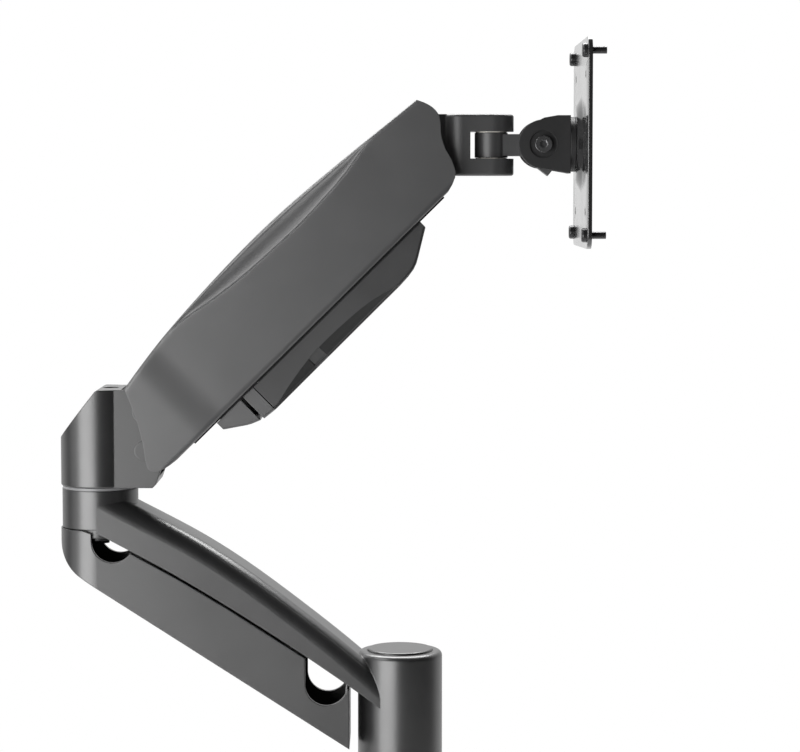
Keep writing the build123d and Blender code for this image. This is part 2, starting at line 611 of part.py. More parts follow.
def cover_half():
    """The far side cover: its side wall, its half of the top, and bosses that reach the channel."""
    outer = slab(ARM, side_outline(), 0.1, COVER_OUT)
    top_edges = [edge for edge in outer.edges()
                 if abs(edge.center().Y - COVER_OUT) < 0.01 and edge.length > 200
                 and (edge.center() - PIVOT).dot(UP_ARM) > 10]
    outer = fillet(top_edges, 8.0)
    wall = COVER_OUT - COVER_IN
    inner_top = [(s, d - wall) for s, d in TOP_LINE]
    inner_top = [(-60.0, inner_top[0][1] - 8)] + inner_top + [(300.0, inner_top[-1][1] - 6)]
    lid = make_face(Spline(*inner_top) + Polyline(inner_top[-1], (300, -60), (-60, -60), inner_top[0]))
    core = slab(ARM, lid, -1, COVER_IN)
    core_edges = [edge for edge in core.edges()
                  if abs(edge.center().Y - COVER_IN) < 0.01 and edge.length > 200
                  and (edge.center() - PIVOT).dot(UP_ARM) > 5]
    core = fillet(core_edges, 8.0 - wall)
    shell = outer - core
    rear_slot = slab(ARM, outline((-30, 0), (6.0, 0), (6.0, 40), (-30, 40)), -1, COVER_IN)
    front_slot = slab(ARM, outline((196, 0), (260, 0), (260, 40), (196, 40)), -1, 15.5)
    shell = shell - rear_slot - front_slot
    for s, d in COVER_BOSSES:
        boss = slab(ARM, Pos(s, d) * Circle(4.0), CHANNEL_OUT + 0.1, COVER_IN + 0.5)
        hole = slab(ARM, Pos(s, d) * Circle(1.2), CHANNEL_OUT, COVER_IN)
        shell = shell + boss - hole
    return shell


def left_cover():
    return mirror(cover_half(), about=Plane.XZ)


def right_cover():
    return cover_half()


def cover_fixings():
    """Screws from inside the channel into the side covers' bosses."""
    screws = []
    for s, d in COVER_BOSSES:
        screw = slab(ARM, Pos(s, d) * Circle(2.6), CHANNEL_IN - 1.6, CHANNEL_IN)
        screw = screw + slab(ARM, Pos(s, d) * Circle(1.15), CHANNEL_IN, COVER_IN - 2)
        screws += [screw, mirror(screw, about=Plane.XZ)]
    return Compound(children=screws)


def front_pin():
    """The pivot between the arm and the yoke."""
    return headed_pin(FRONT, PIN_R, 6.0, CHANNEL_OUT)


def front_spacers():
    spacer = cross_pin(FRONT, 6.6, TONGUE_HALF + FACE_GAP, CHANNEL_IN)
    spacer -= cross_pin(FRONT, PIN_R + RUN, 0, 40)
    return Compound(children=[spacer, mirror(spacer, about=Plane.XZ)])


def arm_tray():
    """The plastic floor of the arm that the cable cover clips to."""
    floor = outline((TRAY_START, TRAY_BOTTOM), (TRAY_END, TRAY_BOTTOM), (TRAY_END, TRAY_TOP),
                    (TRAY_START, TRAY_TOP))
    tray = slab(ARM, floor, -TRAY_HALF_WIDTH, TRAY_HALF_WIDTH)
    middle = (TRAY_TOP + TRAY_BOTTOM) / 2
    yoke_notch = Pos((TRAY_END + YOKE_NOTCH_START) / 2 + 1, middle)
    yoke_notch *= Rectangle(TRAY_END - YOKE_NOTCH_START + 2, 9)
    tray -= slab(ARM, yoke_notch, -CHANNEL_OUT, CHANNEL_OUT)
    turret_notch = Pos((TRAY_START + TURRET_NOTCH_END) / 2 - 1, middle)
    turret_notch = turret_notch * Rectangle(TURRET_NOTCH_END - TRAY_START + 2, 9)
    tray -= slab(ARM, turret_notch, -TURRET_NOTCH_HALF, TURRET_NOTCH_HALF)
    for s in (END_HOOK, BAND_HOOK, *COVER_HOOKS):
        tray -= pair(slab(ARM, Pos(s, middle) * Rectangle(8, 9), HOOK_IN - 0.7, HOOK_OUT + 0.9))
    for s in TRAY_LUGS:
        lug = slab(ARM, Pos(s, TRAY_TOP + 2) * Rectangle(8, 4), TRAY_HALF_WIDTH - 1.5, COVER_IN)
        tray = tray + pair(lug)
    return tray


def trough(points, hook_places):
    """A piece of the cable cover: floor and two side walls, open at both ends and on top."""
    body = slab(ARM, outline(*points), -TROUGH_HALF_WIDTH, TROUGH_HALF_WIDTH)
    floor = [(s, d + TROUGH_WALL) for s, d in points if d < TROUGH_TOP - 1]
    floor = sorted(floor)
    cut = [(floor[0][0] - 20, floor[0][1])] + floor + [(floor[-1][0] + 20, floor[-1][1] + 12)]
    cut += [(floor[-1][0] + 20, 0), (floor[0][0] - 20, 0)]
    inner = TROUGH_HALF_WIDTH - TROUGH_WALL
    body -= slab(ARM, outline(*cut), -inner, inner)
    for s in hook_places:
        hook = outline((s - 3, TROUGH_TOP - 6), (s + 3, TROUGH_TOP - 6), (s + 3, TRAY_TOP + 0.8),
                       (s - 3, TRAY_TOP + 0.8))
        body = body + pair(slab(ARM, hook, HOOK_IN, HOOK_OUT))
        bridge = outline((s - 3, TROUGH_TOP - 6), (s + 3, TROUGH_TOP - 6), (s + 3, TROUGH_TOP - 1.5),
                         (s - 3, TROUGH_TOP - 1.5))
        body = body + pair(slab(ARM, bridge, 17.0, inner + 0.5))
    return body


def cable_cover():
    return trough(TROUGH, COVER_HOOKS)


def cable_band():
    return trough(BAND, (BAND_HOOK,))


def cable_end_piece():
    return trough(END_PIECE, (END_HOOK,))


# ---------------------------------------------------------------- tie bars and gas spring
def tie_bars():
    """The two lower links that keep the yoke level."""
    plate = bar((0, 0), (ARM_LENGTH, 0), TIE_HALF_HEIGHT, TIE_HALF_HEIGHT)
    lower = Plane(origin=TIE_REAR, x_dir=ALONG, z_dir=(0, -1, 0))
    bar_solid = slab(lower, plate, TIE_IN, TIE_OUT)
    bar_solid -= cross_pin(TIE_REAR, TIE_PIN_R + RUN, 0, 40)
    bar_solid -= cross_pin(TIE_FRONT, TIE_PIN_R + RUN, 0, 40)
    return Compound(children=[bar_solid, mirror(bar_solid, about=Plane.XZ)])


GAS_LINE = GAS_PIN - ANCHOR
GAS_LENGTH = GAS_LINE.length
GAS_DIRECTION = GAS_LINE.normalized()
GAS_NORMAL = Vector(-GAS_DIRECTION.Z, 0, GAS_DIRECTION.X)


def gas_round(radius, start, end):
    """A round solid on the gas spring's axis, measured back from its front pin."""
    at = GAS_PIN - GAS_DIRECTION * start
    plane = Plane(origin=at, x_dir=GAS_NORMAL, z_dir=GAS_DIRECTION * -1)
    return extrude(plane * Circle(radius), amount=end - start)


GAS_BODY_END = GAS_BODY_START + GAS_BODY_LENGTH
GUIDE_LENGTH = 10.0


def gas_cylinder():
    body = gas_round(GAS_R, GAS_BODY_START, GAS_BODY_END)
    body -= gas_round(GAS_R - GAS_WALL, GAS_BODY_START + 5, GAS_BODY_END + 1)
    eye = cross_pin(GAS_PIN, 6.5, -4.5, 4.5) + gas_round(4.4, 0, GAS_BODY_START + 2)
    return body + eye - cross_pin(GAS_PIN, GAS_PIN_R + RUN, -20, 20)


def gas_guide():
    """The seal plug that the rod slides through."""
    plug = gas_round(GAS_R - GAS_WALL, GAS_BODY_END - GUIDE_LENGTH, GAS_BODY_END)
    return plug - gas_round(GAS_ROD_R + RUN, GAS_BODY_END - GUIDE_LENGTH - 1, GAS_BODY_END + 1)


def gas_rod():
    return gas_round(GAS_ROD_R, GAS_BODY_END - 38, GAS_LENGTH - GAS_EYE_R + 1)


def gas_piston():
    piston = gas_round(GAS_R - GAS_WALL - RUN, GAS_BODY_END - 36, GAS_BODY_END - 30)
    return piston - gas_round(GAS_ROD_R, GAS_BODY_END - 40, GAS_BODY_END)


def gas_rod_end():
    eye = cross_pin(ANCHOR, GAS_EYE_R, -4.2, 4.2)
    return eye - cross_pin(ANCHOR, GAS_PIN_R + GAS_EYE_CLEAR, -20, 20) - gas_rod()


def gas_pin():
    return headed_pin(GAS_PIN, GAS_PIN_R, 5.0, CHANNEL_OUT)


# ---------------------------------------------------------------- yoke
def yoke():
    """The level yoke: a tongue on the arm's pins, a web and two ears round the swivel pin."""
    tongue = bar((FRONT.X, FRONT.Z), (TIE_FRONT.X, TIE_FRONT.Z), 10.0, 8.0)
    web = outline((FRONT.X, FRONT.Z - 12), (FRONT.X + 4, FRONT.Z + 8.5), (17.0, YOKE_TOP), (26.0, YOKE_TOP),
                  (26.0, YOKE_BOTTOM), (FRONT.X + 3, TIE_FRONT.Z - 5))
    tongue = slab(SIDE, tongue + web, -TONGUE_HALF, TONGUE_HALF)
    plan = bar((34.5, 0), (SWIVEL_X, 0), YOKE_HALF_WIDTH, YOKE_EAR_R)
    head = Pos(0, 0, YOKE_BOTTOM) * extrude(plan, amount=YOKE_TOP - YOKE_BOTTOM)
    head = fillet(head.edges().group_by(Axis.Z)[-1] + head.edges().group_by(Axis.Z)[0], 1.5)
    body = tongue + head
    body -= block((SLOT_X, 90), (-40, 40), (YOKE_BOTTOM + YOKE_EAR, YOKE_TOP - YOKE_EAR))
    body -= upright(SWIVEL_X, SWIVEL_PIN_R + 0.01, YOKE_BOTTOM - 1, YOKE_TOP + 1)
    body -= upright(SWIVEL_X, 6.6, YOKE_TOP - 2.2, YOKE_TOP + 1)
    body -= cross_pin(FRONT, PIN_R + RUN, -40, 40)
    return body - cross_pin(TIE_FRONT, TIE_PIN_R + 0.01, -40, 40)


def tie_pin_front():
    """The lower front pin, fixed in the yoke; the tie bars turn on its ends."""
    return cross_pin(TIE_FRONT, TIE_PIN_R, -TIE_OUT - 0.2, TIE_OUT + 0.2)


def swivel_pin():
    head = upright(SWIVEL_X, 6.4, YOKE_TOP - 2.1, YOKE_TOP - 0.2)
    pin = head + upright(SWIVEL_X, SWIVEL_PIN_R, YOKE_BOTTOM + 0.4, YOKE_TOP - 2.1)
    return pin - Pos(SWIVEL_X, 0, YOKE_TOP - 0.2) * hex_socket(5, 1.4)


WASHER = 0.5


def swivel_washers():
    low, high = YOKE_BOTTOM + YOKE_EAR, YOKE_TOP - YOKE_EAR
    lower = ring(SWIVEL_X, SWIVEL_PIN_R + RUN, LINK_R - 0.5, low, low + WASHER)
    upper = ring(SWIVEL_X, SWIVEL_PIN_R + RUN, LINK_R - 0.5, high - WASHER, high)
    return Compound(children=[lower, upper])


# ---------------------------------------------------------------- swivel link and tilt bracket
# The stop lug's side view, from the tilt axis
STOP_LUG = [(-3.4, -12.8), (2.9, -17.7), (6.0, -13.8), (5.0, -7.0), (0.0, -5.0)]


def swivel_link():
    """The link between the upright swivel pin and the level tilt bolt."""
    low = YOKE_BOTTOM + YOKE_EAR + WASHER + FACE_GAP
    high = YOKE_TOP - YOKE_EAR - WASHER - FACE_GAP
    barrel = upright(SWIVEL_X, LINK_R, low, high)
    neck = block((SWIVEL_X, TILT_X), (-LINK_NECK_HALF, LINK_NECK_HALF), (low + 0.8, high - 0.8))
    eye = cross_pin(Vector(TILT_X, 0, TILT_Z), LINK_EYE_R, -LINK_EYE_HALF, LINK_EYE_HALF)
    lug = slab(SIDE, outline(*[(TILT_X + x, TILT_Z + z) for x, z in STOP_LUG]), -6, 6)
    link = barrel + neck + eye + lug
    link -= upright(SWIVEL_X, SWIVEL_PIN_R + RUN, low - 1, high + 1)
    return link - cross_pin(Vector(TILT_X, 0, TILT_Z), TILT_BOLT_R + RUN, -40, 40)


TILT_AXIS = Vector(TILT_X, 0, TILT_Z)
NUT_POCKET = 7.6


def tilt_bracket():
    """Two D-shaped cheeks round the link and the flange that carries the turning plate."""
    top, bottom = 402.9, 370.6
    side = outline((TILT_X + 0.5, top - 1.3), (TILT_X + 8, top), (BRACKET_RIGHT, top),
                   (BRACKET_RIGHT, bottom), (TILT_X + 7, bottom + 1.5),
                   (TILT_X - 4, TILT_Z - 12.9), (TILT_X - 9.5, TILT_Z + 9.8))
    side = side + Pos(TILT_X, TILT_Z) * Circle(TILT_R)
    body = slab(SIDE, side, -BRACKET_OUT, BRACKET_OUT)
    left_of_flange = BRACKET_RIGHT - BRACKET_FLANGE
    body -= block((TILT_X - 30, left_of_flange), (-BRACKET_IN, BRACKET_IN), (bottom - 5, top + 5))
    body -= cross_pin(TILT_AXIS, TILT_BOLT_R + 0.01, -40, 40)
    body -= cross_pin(TILT_AXIS, NUT_POCKET, -BRACKET_OUT - 1, -BRACKET_OUT + 1.2)
    body -= cross_pin(TILT_AXIS, NUT_POCKET, BRACKET_OUT - 1.2, BRACKET_OUT + 1)
    return body - lengthwise(TILT_Z, CENTRE_BOLT_R + 0.01, TILT_X, 120)


def tilt_washers():
    washer = cross_pin(TILT_AXIS, 7.8, LINK_EYE_HALF + FACE_GAP, BRACKET_IN)
    washer -= cross_pin(TILT_AXIS, TILT_BOLT_R + RUN, 0, 40)
    return Compound(children=[washer, mirror(washer, about=Plane.XZ)])


def tilt_bolt():
    """A socket head on the near side, a plain shank and the thread end for the nut."""
    shank = cross_pin(TILT_AXIS, TILT_BOLT_R, -BRACKET_OUT + 1.2, BRACKET_OUT + 4.0)
    head = cross_pin(TILT_AXIS, 4.6, -BRACKET_OUT - 3.4, -BRACKET_OUT + 1.2)
    key = Plane(origin=(TILT_X, -BRACKET_OUT - 3.4, TILT_Z), x_dir=(1, 0, 0), z_dir=(0, -1, 0))
    socket = extrude(key * RegularPolygon(2.0, 6, major_radius=False), amount=-2.5)
    return shank + head - socket


def tilt_nut():
    face = Plane(origin=(TILT_X, BRACKET_OUT + 3.8, TILT_Z), x_dir=(1, 0, 0), z_dir=(0, -1, 0))
    nut = extrude(face * RegularPolygon(5.0, 6, major_radius=False), amount=5.0)
    return nut - cross_pin(TILT_AXIS, TILT_BOLT_R, -40, 40)


def turn_disc():
    """The friction disc between the tilt bracket and the turning plate."""
    disc = lengthwise(TILT_Z, DISC_R, BRACKET_RIGHT, DISC_RIGHT - FACE_GAP)
    return disc - lengthwise(TILT_Z, CENTRE_BOLT_R + 0.01, 0, 120)


def centre_bolt():
    """The bolt that the plate turns on, headed on the monitor's side."""
    seat = DISC_RIGHT + PLATE_FACE - PLATE_REAR + FACE_GAP
    shank = lengthwise(TILT_Z, CENTRE_BOLT_R, LINK_CLEAR_X, seat)
    return shank + lengthwise(TILT_Z, 7.5, seat, PLATE_FACE - 0.2)


def dish(front_drop, r_drop):
    """The dished centre of the plate: the dish's own side, or its hollow one sheet further on."""
    near = Plane(origin=(DISC_RIGHT + front_drop, 0, TILT_Z), x_dir=(0, 1, 0), z_dir=(1, 0, 0))
    far = Plane(origin=(PLATE_REAR + front_drop, 0, TILT_Z), x_dir=(0, 1, 0), z_dir=(1, 0, 0))
    return loft([near * Circle(DOME_R - 6 - r_drop), far * Circle(DOME_R - r_drop)])


def vesa_plate():
    face = Plane(origin=(PLATE_REAR, 0, TILT_Z), x_dir=(0, 1, 0), z_dir=(1, 0, 0))
    sheet = PLATE_FACE - PLATE_REAR
    plate = extrude(face * RectangleRounded(2 * PLATE_HALF, 2 * PLATE_HALF, 8.0), amount=sheet)
    plate = plate + dish(0, 0) - dish(sheet + 0.01, 1.0)
    for half in (VESA_100, VESA_75):
        for y in (-half, half):
            for z in (-half, half):
                plate -= face * Pos(y, z, -1) * extrude(Circle(VESA_HOLE_R), amount=9)
    return plate - lengthwise(TILT_Z, CENTRE_BOLT_R + RUN, 0, 120)


def vesa_screws():
    """The four screws of the 100 mm pattern, in their holes."""
    screws = []
    sheet = PLATE_FACE - PLATE_REAR
    face = Plane(origin=(PLATE_REAR, 0, TILT_Z), x_dir=(0, 1, 0), z_dir=(1, 0, 0))
    for y in (-VESA_100, VESA_100):
        for z in (-VESA_100, VESA_100):
            head = face * Pos(y, z, -VESA_HEAD) * extrude(Circle(VESA_HEAD_R), amount=VESA_HEAD)
            head = fillet(head.edges().sort_by(Axis.X)[0], 1.2)
            neck = face * Pos(y, z, 0) * extrude(Circle(VESA_NECK_R), amount=sheet)
            thread = face * Pos(y, z, sheet) * extrude(Circle(VESA_SCREW_R), amount=VESA_SCREW_REACH)
            screws.append(head + neck + thread)
    return Compound(children=screws)


PIECES = [
    base_pad, base_plate, base_post, post_screw, post_washer, post_top_screw, clamp_bracket, bracket_screws,
    clamp_nut, clamp_screw, clamp_knob, clamp_pad, clamp_pad_rubber,
    lower_arm_casting, lower_arm_cover, cover_screws, base_bushes, base_cap, elbow_washer, elbow_bush,
    turret_housing, elbow_shaft, elbow_retainer, elbow_screw, rear_pin, tie_pins_rear,
    tension_screw, tension_slider, slider_pin,
    arm_channel, rear_bushes, left_cover, right_cover, cover_fixings, front_pin,
    front_spacers, arm_tray, cable_cover, cable_band, cable_end_piece,
    tie_bars, gas_cylinder, gas_guide, gas_rod, gas_piston, gas_rod_end, gas_pin,
    yoke, tie_pin_front, swivel_pin, swivel_washers,
    swivel_link, tilt_bracket, tilt_washers, tilt_bolt, tilt_nut, turn_disc, centre_bolt,
    vesa_plate, vesa_screws,
]

for piece in PIECES:
    save(piece.__name__, piece())
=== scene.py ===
# %% [markdown]
# # A monitor arm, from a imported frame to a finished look
# The frame is a set of exact solids that already stand in the right places. This lesson gives each
# of them a finish, and models again the pieces whose real shapes are softer than the solids: the
# arm's side covers, the cable cover, the square plate and the rubber pads. Lengths are in metres.

# %% Load the frame
import json
from math import atan2, cos, pi, radians, sin

import bmesh
import bpy
from mathutils import Matrix, Vector


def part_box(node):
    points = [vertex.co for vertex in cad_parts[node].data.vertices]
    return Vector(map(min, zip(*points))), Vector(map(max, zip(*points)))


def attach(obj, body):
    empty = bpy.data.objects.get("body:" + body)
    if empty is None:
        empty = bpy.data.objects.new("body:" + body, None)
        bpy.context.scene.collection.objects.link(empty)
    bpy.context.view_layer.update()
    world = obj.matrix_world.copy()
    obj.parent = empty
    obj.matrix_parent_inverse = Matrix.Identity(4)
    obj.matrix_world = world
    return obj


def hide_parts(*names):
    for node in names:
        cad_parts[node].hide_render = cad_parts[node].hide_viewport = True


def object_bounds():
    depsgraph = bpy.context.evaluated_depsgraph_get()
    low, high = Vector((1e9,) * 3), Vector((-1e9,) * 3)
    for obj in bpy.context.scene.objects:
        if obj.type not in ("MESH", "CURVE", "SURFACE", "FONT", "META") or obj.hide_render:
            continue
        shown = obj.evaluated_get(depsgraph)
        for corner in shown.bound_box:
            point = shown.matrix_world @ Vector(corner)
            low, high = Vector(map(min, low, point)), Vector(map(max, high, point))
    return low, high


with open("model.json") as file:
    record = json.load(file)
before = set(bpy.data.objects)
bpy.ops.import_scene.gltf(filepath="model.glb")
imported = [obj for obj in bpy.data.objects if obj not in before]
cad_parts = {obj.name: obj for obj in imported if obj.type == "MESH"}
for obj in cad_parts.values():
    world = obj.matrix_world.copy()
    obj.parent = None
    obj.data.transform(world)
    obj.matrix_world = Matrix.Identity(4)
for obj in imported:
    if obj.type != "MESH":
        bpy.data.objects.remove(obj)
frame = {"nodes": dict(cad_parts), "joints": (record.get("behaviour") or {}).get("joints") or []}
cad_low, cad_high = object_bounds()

MM = 0.001
print("the frame's box in mm:", [round(v / MM, 1) for v in (*cad_low, *cad_high)])

# %% [markdown]
# ## The camera
# A long lens seen from the side, a little above the arm and looking slightly down, keeps the arm's
# outline close to its true shape. The head is at about the camera's own height.

# %% Make the camera
LENS = 112.5
CAMERA_PLACE = Vector((0.0, -1.410, 0.3625))
LOOK_DOWN = radians(4.3)

bpy.ops.object.camera_add(location=CAMERA_PLACE, rotation=(pi / 2 - LOOK_DOWN, 0, 0))
camera = bpy.context.object
camera.data.lens = LENS
camera.data.sensor_width = 36.0
camera.data.clip_start, camera.data.clip_end = 0.05, 50.0
bpy.context.scene.camera = camera
print("camera", [round(v, 3) for v in camera.location], "lens", LENS)

# %% [markdown]
# ## The studio
# Satin black plastic shows what it reflects more than its own colour. The studio has a white
# surround behind the arm, a broad card to the front left and a softbox overhead. Two dimmer cards
# fill the far left and the upper left. The front right stays dark, so that rounded edges get a
# light rim beside a dark band.

# %% Light the studio
def add_light(name, place, target, size, power):
    """An area light at a place, turned to face its target."""
    bpy.ops.object.light_add(type="AREA", location=place)
    lamp = bpy.context.object
    lamp.name = name
    lamp.data.shape = "RECTANGLE"
    lamp.data.size, lamp.data.size_y = size
    lamp.data.energy = power
    lamp.rotation_euler = (Vector(target) - Vector(place)).to_track_quat("-Z", "Y").to_euler()
    return lamp


add_light("front_left_card", (-1.62, -2.25, -0.15), (-0.10, 0, 0.20), (2.3, 2.0), 100)
add_light("overhead_softbox", (-0.10, 0.75, 1.65), (-0.05, 0, 0.25), (2.0, 0.9), 75)
add_light("far_left_card", (-2.45, -0.75, 0.10), (-0.15, 0, 0.22), (1.5, 1.9), 10)
add_light("upper_left_card", (-1.55, -0.75, 1.75), (-0.05, 0, 0.30), (1.3, 0.9), 20)


# %% [markdown]
# The surround is the world's own shader. Seen by the camera it is plain white. For reflections it
# is white behind the arm and falls to a dark grey in front, by direction, as a studio does.

# %% Make the surround
def make_surround():
    world = bpy.data.worlds.new("studio")
    world.use_nodes = True
    bpy.context.scene.world = world
    nodes, links = world.node_tree.nodes, world.node_tree.links
    nodes.clear()
    direction = nodes.new("ShaderNodeTexCoord")
    parts = nodes.new("ShaderNodeSeparateXYZ")
    ramp = nodes.new("ShaderNodeValToRGB")
    ramp.color_ramp.elements[0].position = 0.55
    ramp.color_ramp.elements[0].color = (0.03, 0.03, 0.03, 1)
    ramp.color_ramp.elements[1].position = 0.75
    ramp.color_ramp.elements[1].color = (0.9, 0.9, 0.9, 1)
    centre = nodes.new("ShaderNodeMapRange")
    centre.inputs["From Min"].default_value = -1
    seen = nodes.new("ShaderNodeLightPath")
    choose = nodes.new("ShaderNodeMix")
    choose.data_type = "RGBA"
    choose.inputs[7].default_value = (1, 1, 1, 1)
    background = nodes.new("ShaderNodeBackground")
    output = nodes.new("ShaderNodeOutputWorld")
    links.new(direction.outputs["Generated"], parts.inputs[0])
    links.new(parts.outputs["Y"], centre.inputs["Value"])
    links.new(centre.outputs[0], ramp.inputs[0])
    links.new(ramp.outputs[0], choose.inputs[6])
    links.new(seen.outputs["Is Camera Ray"], choose.inputs[0])
    links.new(choose.outputs[2], background.inputs["Color"])
    links.new(background.outputs[0], output.inputs["Surface"])


make_surround()
bpy.context.scene.view_settings.view_transform = "Standard"

# %% [markdown]
# The floor is a pale disc just under the clamp. It fades out towards its rim, so no edge or
# horizon line shows behind the arm. Its underside is clear, so that the clamp shows from below.

# %% Make the floor
FLOOR_R = 0.9


def make_floor():
    bpy.ops.mesh.primitive_circle_add(vertices=96, radius=FLOOR_R, fill_type="NGON",
                                      location=(0, 0, cad_low.z - 0.002))
    floor = bpy.context.object
    floor.name = "studio_floor"
    material = bpy.data.materials.new("pale_floor")
    material.use_nodes = True
    nodes, links = material.node_tree.nodes, material.node_tree.links
    shader = nodes["Principled BSDF"]
    shader.inputs["Base Color"].default_value = (0.86, 0.86, 0.86, 1)
    shader.inputs["Roughness"].default_value = 0.7
    place = nodes.new("ShaderNodeTexCoord")
    length = nodes.new("ShaderNodeVectorMath")
    length.operation = "LENGTH"
    fade = nodes.new("ShaderNodeMapRange")
    fade.interpolation_type = "SMOOTHSTEP"
    fade.inputs["From Min"].default_value = FLOOR_R * 0.98
    fade.inputs["From Max"].default_value = FLOOR_R * 0.45
    links.new(place.outputs["Object"], length.inputs[0])
    links.new(length.outputs["Value"], fade.inputs["Value"])
    side = nodes.new("ShaderNodeNewGeometry")
    front = nodes.new("ShaderNodeMath")
    front.operation = "SUBTRACT"
    front.inputs[0].default_value = 1.0
    seen = nodes.new("ShaderNodeMath")
    seen.operation = "MULTIPLY"
    links.new(side.outputs["Backfacing"], front.inputs[1])
    links.new(fade.outputs[0], seen.inputs[0])
    links.new(front.outputs[0], seen.inputs[1])
    links.new(seen.outputs[0], shader.inputs["Alpha"])
    floor.data.materials.append(material)


make_floor()

# %% [markdown]
# ## Shared effects for the finishes
# Every finish on the arm needs the same few effects, so each effect is a node group that is built
# once. The groups read Object coordinates, which here are real metres, so a scale of 2000 gives
# grain about half a millimetre across on every piece.

# %% A helper for node groups
def new_group(name, inputs, outputs):
    """A shader group with its sockets, and its first and last nodes."""
    group = bpy.data.node_groups.new(name, "ShaderNodeTree")
    for label, value in inputs:
        socket = group.interface.new_socket(label, in_out="INPUT", socket_type="NodeSocketFloat")
        socket.default_value = value
    for label, kind in outputs:
        group.interface.new_socket(label, in_out="OUTPUT", socket_type=kind)
    return group, group.nodes.new("NodeGroupInput"), group.nodes.new("NodeGroupOutput")


# %% [markdown]
# Powder coat and moulded plastic both have a fine pebbled skin. Two noises of different size give
# it: the large one stops the small one from looking like an even screen.

# %% The fine grain group
def make_fine_grain():
    group, start, end = new_group("Fine Grain", [("Scale", 2000.0)], [("Height", "NodeSocketFloat")])
    nodes, links = group.nodes, group.links
    place = nodes.new("ShaderNodeTexCoord")
    small = nodes.new("ShaderNodeTexNoise")
    small.inputs["Detail"].default_value = 2.0
    large = nodes.new("ShaderNodeTexNoise")
    large.inputs["Detail"].default_value = 1.0
    coarser = nodes.new("ShaderNodeMath")
    coarser.operation = "MULTIPLY"
    coarser.inputs[1].default_value = 0.31
    both = nodes.new("ShaderNodeMath")
    both.operation = "MULTIPLY_ADD"
    both.inputs[1].default_value = 0.6
    links.new(start.outputs["Scale"], small.inputs["Scale"])
    links.new(start.outputs["Scale"], coarser.inputs[0])
    links.new(coarser.outputs[0], large.inputs["Scale"])
    for noise in (small, large):
        links.new(place.outputs["Object"], noise.inputs["Vector"])
    links.new(large.outputs["Fac"], both.inputs[0])
    links.new(small.outputs["Fac"], both.inputs[2])
    links.new(both.outputs[0], end.inputs["Height"])
    return group


fine_grain = make_fine_grain()

# %% [markdown]
# No moulding or coating is even. A slow noise, centimetres across, varies the tone and the gloss a
# little.

# %% The soft mottle group
def make_soft_mottle():
    group, start, end = new_group("Soft Mottle", [("Scale", 28.0)], [("Amount", "NodeSocketFloat")])
    nodes, links = group.nodes, group.links
    place = nodes.new("ShaderNodeTexCoord")
    slow = nodes.new("ShaderNodeTexNoise")
    slow.inputs["Detail"].default_value = 4.0
    slow.inputs["Roughness"].default_value = 0.62
    spread = nodes.new("ShaderNodeMapRange")
    spread.inputs["From Min"].default_value = 0.3
    spread.inputs["From Max"].default_value = 0.7
    links.new(place.outputs["Object"], slow.inputs["Vector"])
    links.new(start.outputs["Scale"], slow.inputs["Scale"])
    links.new(slow.outputs["Fac"], spread.inputs["Value"])
    links.new(spread.outputs[0], end.inputs["Amount"])
    return group


soft_mottle = make_soft_mottle()

# %% [markdown]
# A real edge is never perfectly sharp, and it is the first place where a coating wears. The Bevel
# node gives the normal of a rounded edge. Where that differs from the flat normal, there is an
# edge, so the same two normals also give the mask for wear.

# %% The worn edge group
def make_worn_edge():
    group, start, end = new_group("Worn Edge", [("Radius", 0.0005), ("Wear", 0.5)],
                                  [("Mask", "NodeSocketFloat"), ("Normal", "NodeSocketVector")])
    nodes, links = group.nodes, group.links
    rounded = nodes.new("ShaderNodeBevel")
    rounded.samples = 6
    flat = nodes.new("ShaderNodeNewGeometry")
    alike = nodes.new("ShaderNodeVectorMath")
    alike.operation = "DOT_PRODUCT"
    edge = nodes.new("ShaderNodeMapRange")
    edge.inputs["From Min"].default_value = 0.97
    edge.inputs["From Max"].default_value = 0.72
    place = nodes.new("ShaderNodeTexCoord")
    patches = nodes.new("ShaderNodeTexNoise")
    patches.inputs["Scale"].default_value = 160.0
    patches.inputs["Detail"].default_value = 3.0
    broken = nodes.new("ShaderNodeMath")
    broken.operation = "MULTIPLY"
    amount = nodes.new("ShaderNodeMath")
    amount.operation = "MULTIPLY"
    links.new(start.outputs["Radius"], rounded.inputs["Radius"])
    links.new(rounded.outputs["Normal"], alike.inputs[0])
    links.new(flat.outputs["Normal"], alike.inputs[1])
    links.new(alike.outputs["Value"], edge.inputs["Value"])
    links.new(place.outputs["Object"], patches.inputs["Vector"])
    links.new(edge.outputs[0], broken.inputs[0])
    links.new(patches.outputs["Fac"], broken.inputs[1])
    links.new(broken.outputs[0], amount.inputs[0])
    links.new(start.outputs["Wear"], amount.inputs[1])
    links.new(amount.outputs[0], end.inputs["Mask"])
    links.new(rounded.outputs["Normal"], end.inputs["Normal"])
    return group


worn_edge = make_worn_edge()

# %% [markdown]
# Turned and plated steel has fine lines that run round or along it. Stretching a noise on one axis
# draws them out into lines.

# %% The drawn lines group
def make_drawn_lines():
    group, start, end = new_group("Drawn Lines", [("Scale", 900.0)], [("Height", "NodeSocketFloat")])
    nodes, links = group.nodes, group.links
    place = nodes.new("ShaderNodeTexCoord")
    stretch = nodes.new("ShaderNodeMapping")
    stretch.inputs["Scale"].default_value = (0.05, 0.05, 1.0)
    lines = nodes.new("ShaderNodeTexNoise")
    lines.inputs["Detail"].default_value = 2.0
    links.new(place.outputs["Object"], stretch.inputs["Vector"])
    links.new(stretch.outputs["Vector"], lines.inputs["Vector"])
    links.new(start.outputs["Scale"], lines.inputs["Scale"])
    links.new(lines.outputs["Fac"], end.inputs["Height"])
    return group


drawn_lines = make_drawn_lines()
print("effect groups:", [g.name for g in bpy.data.node_groups if g.name[0].isupper()])

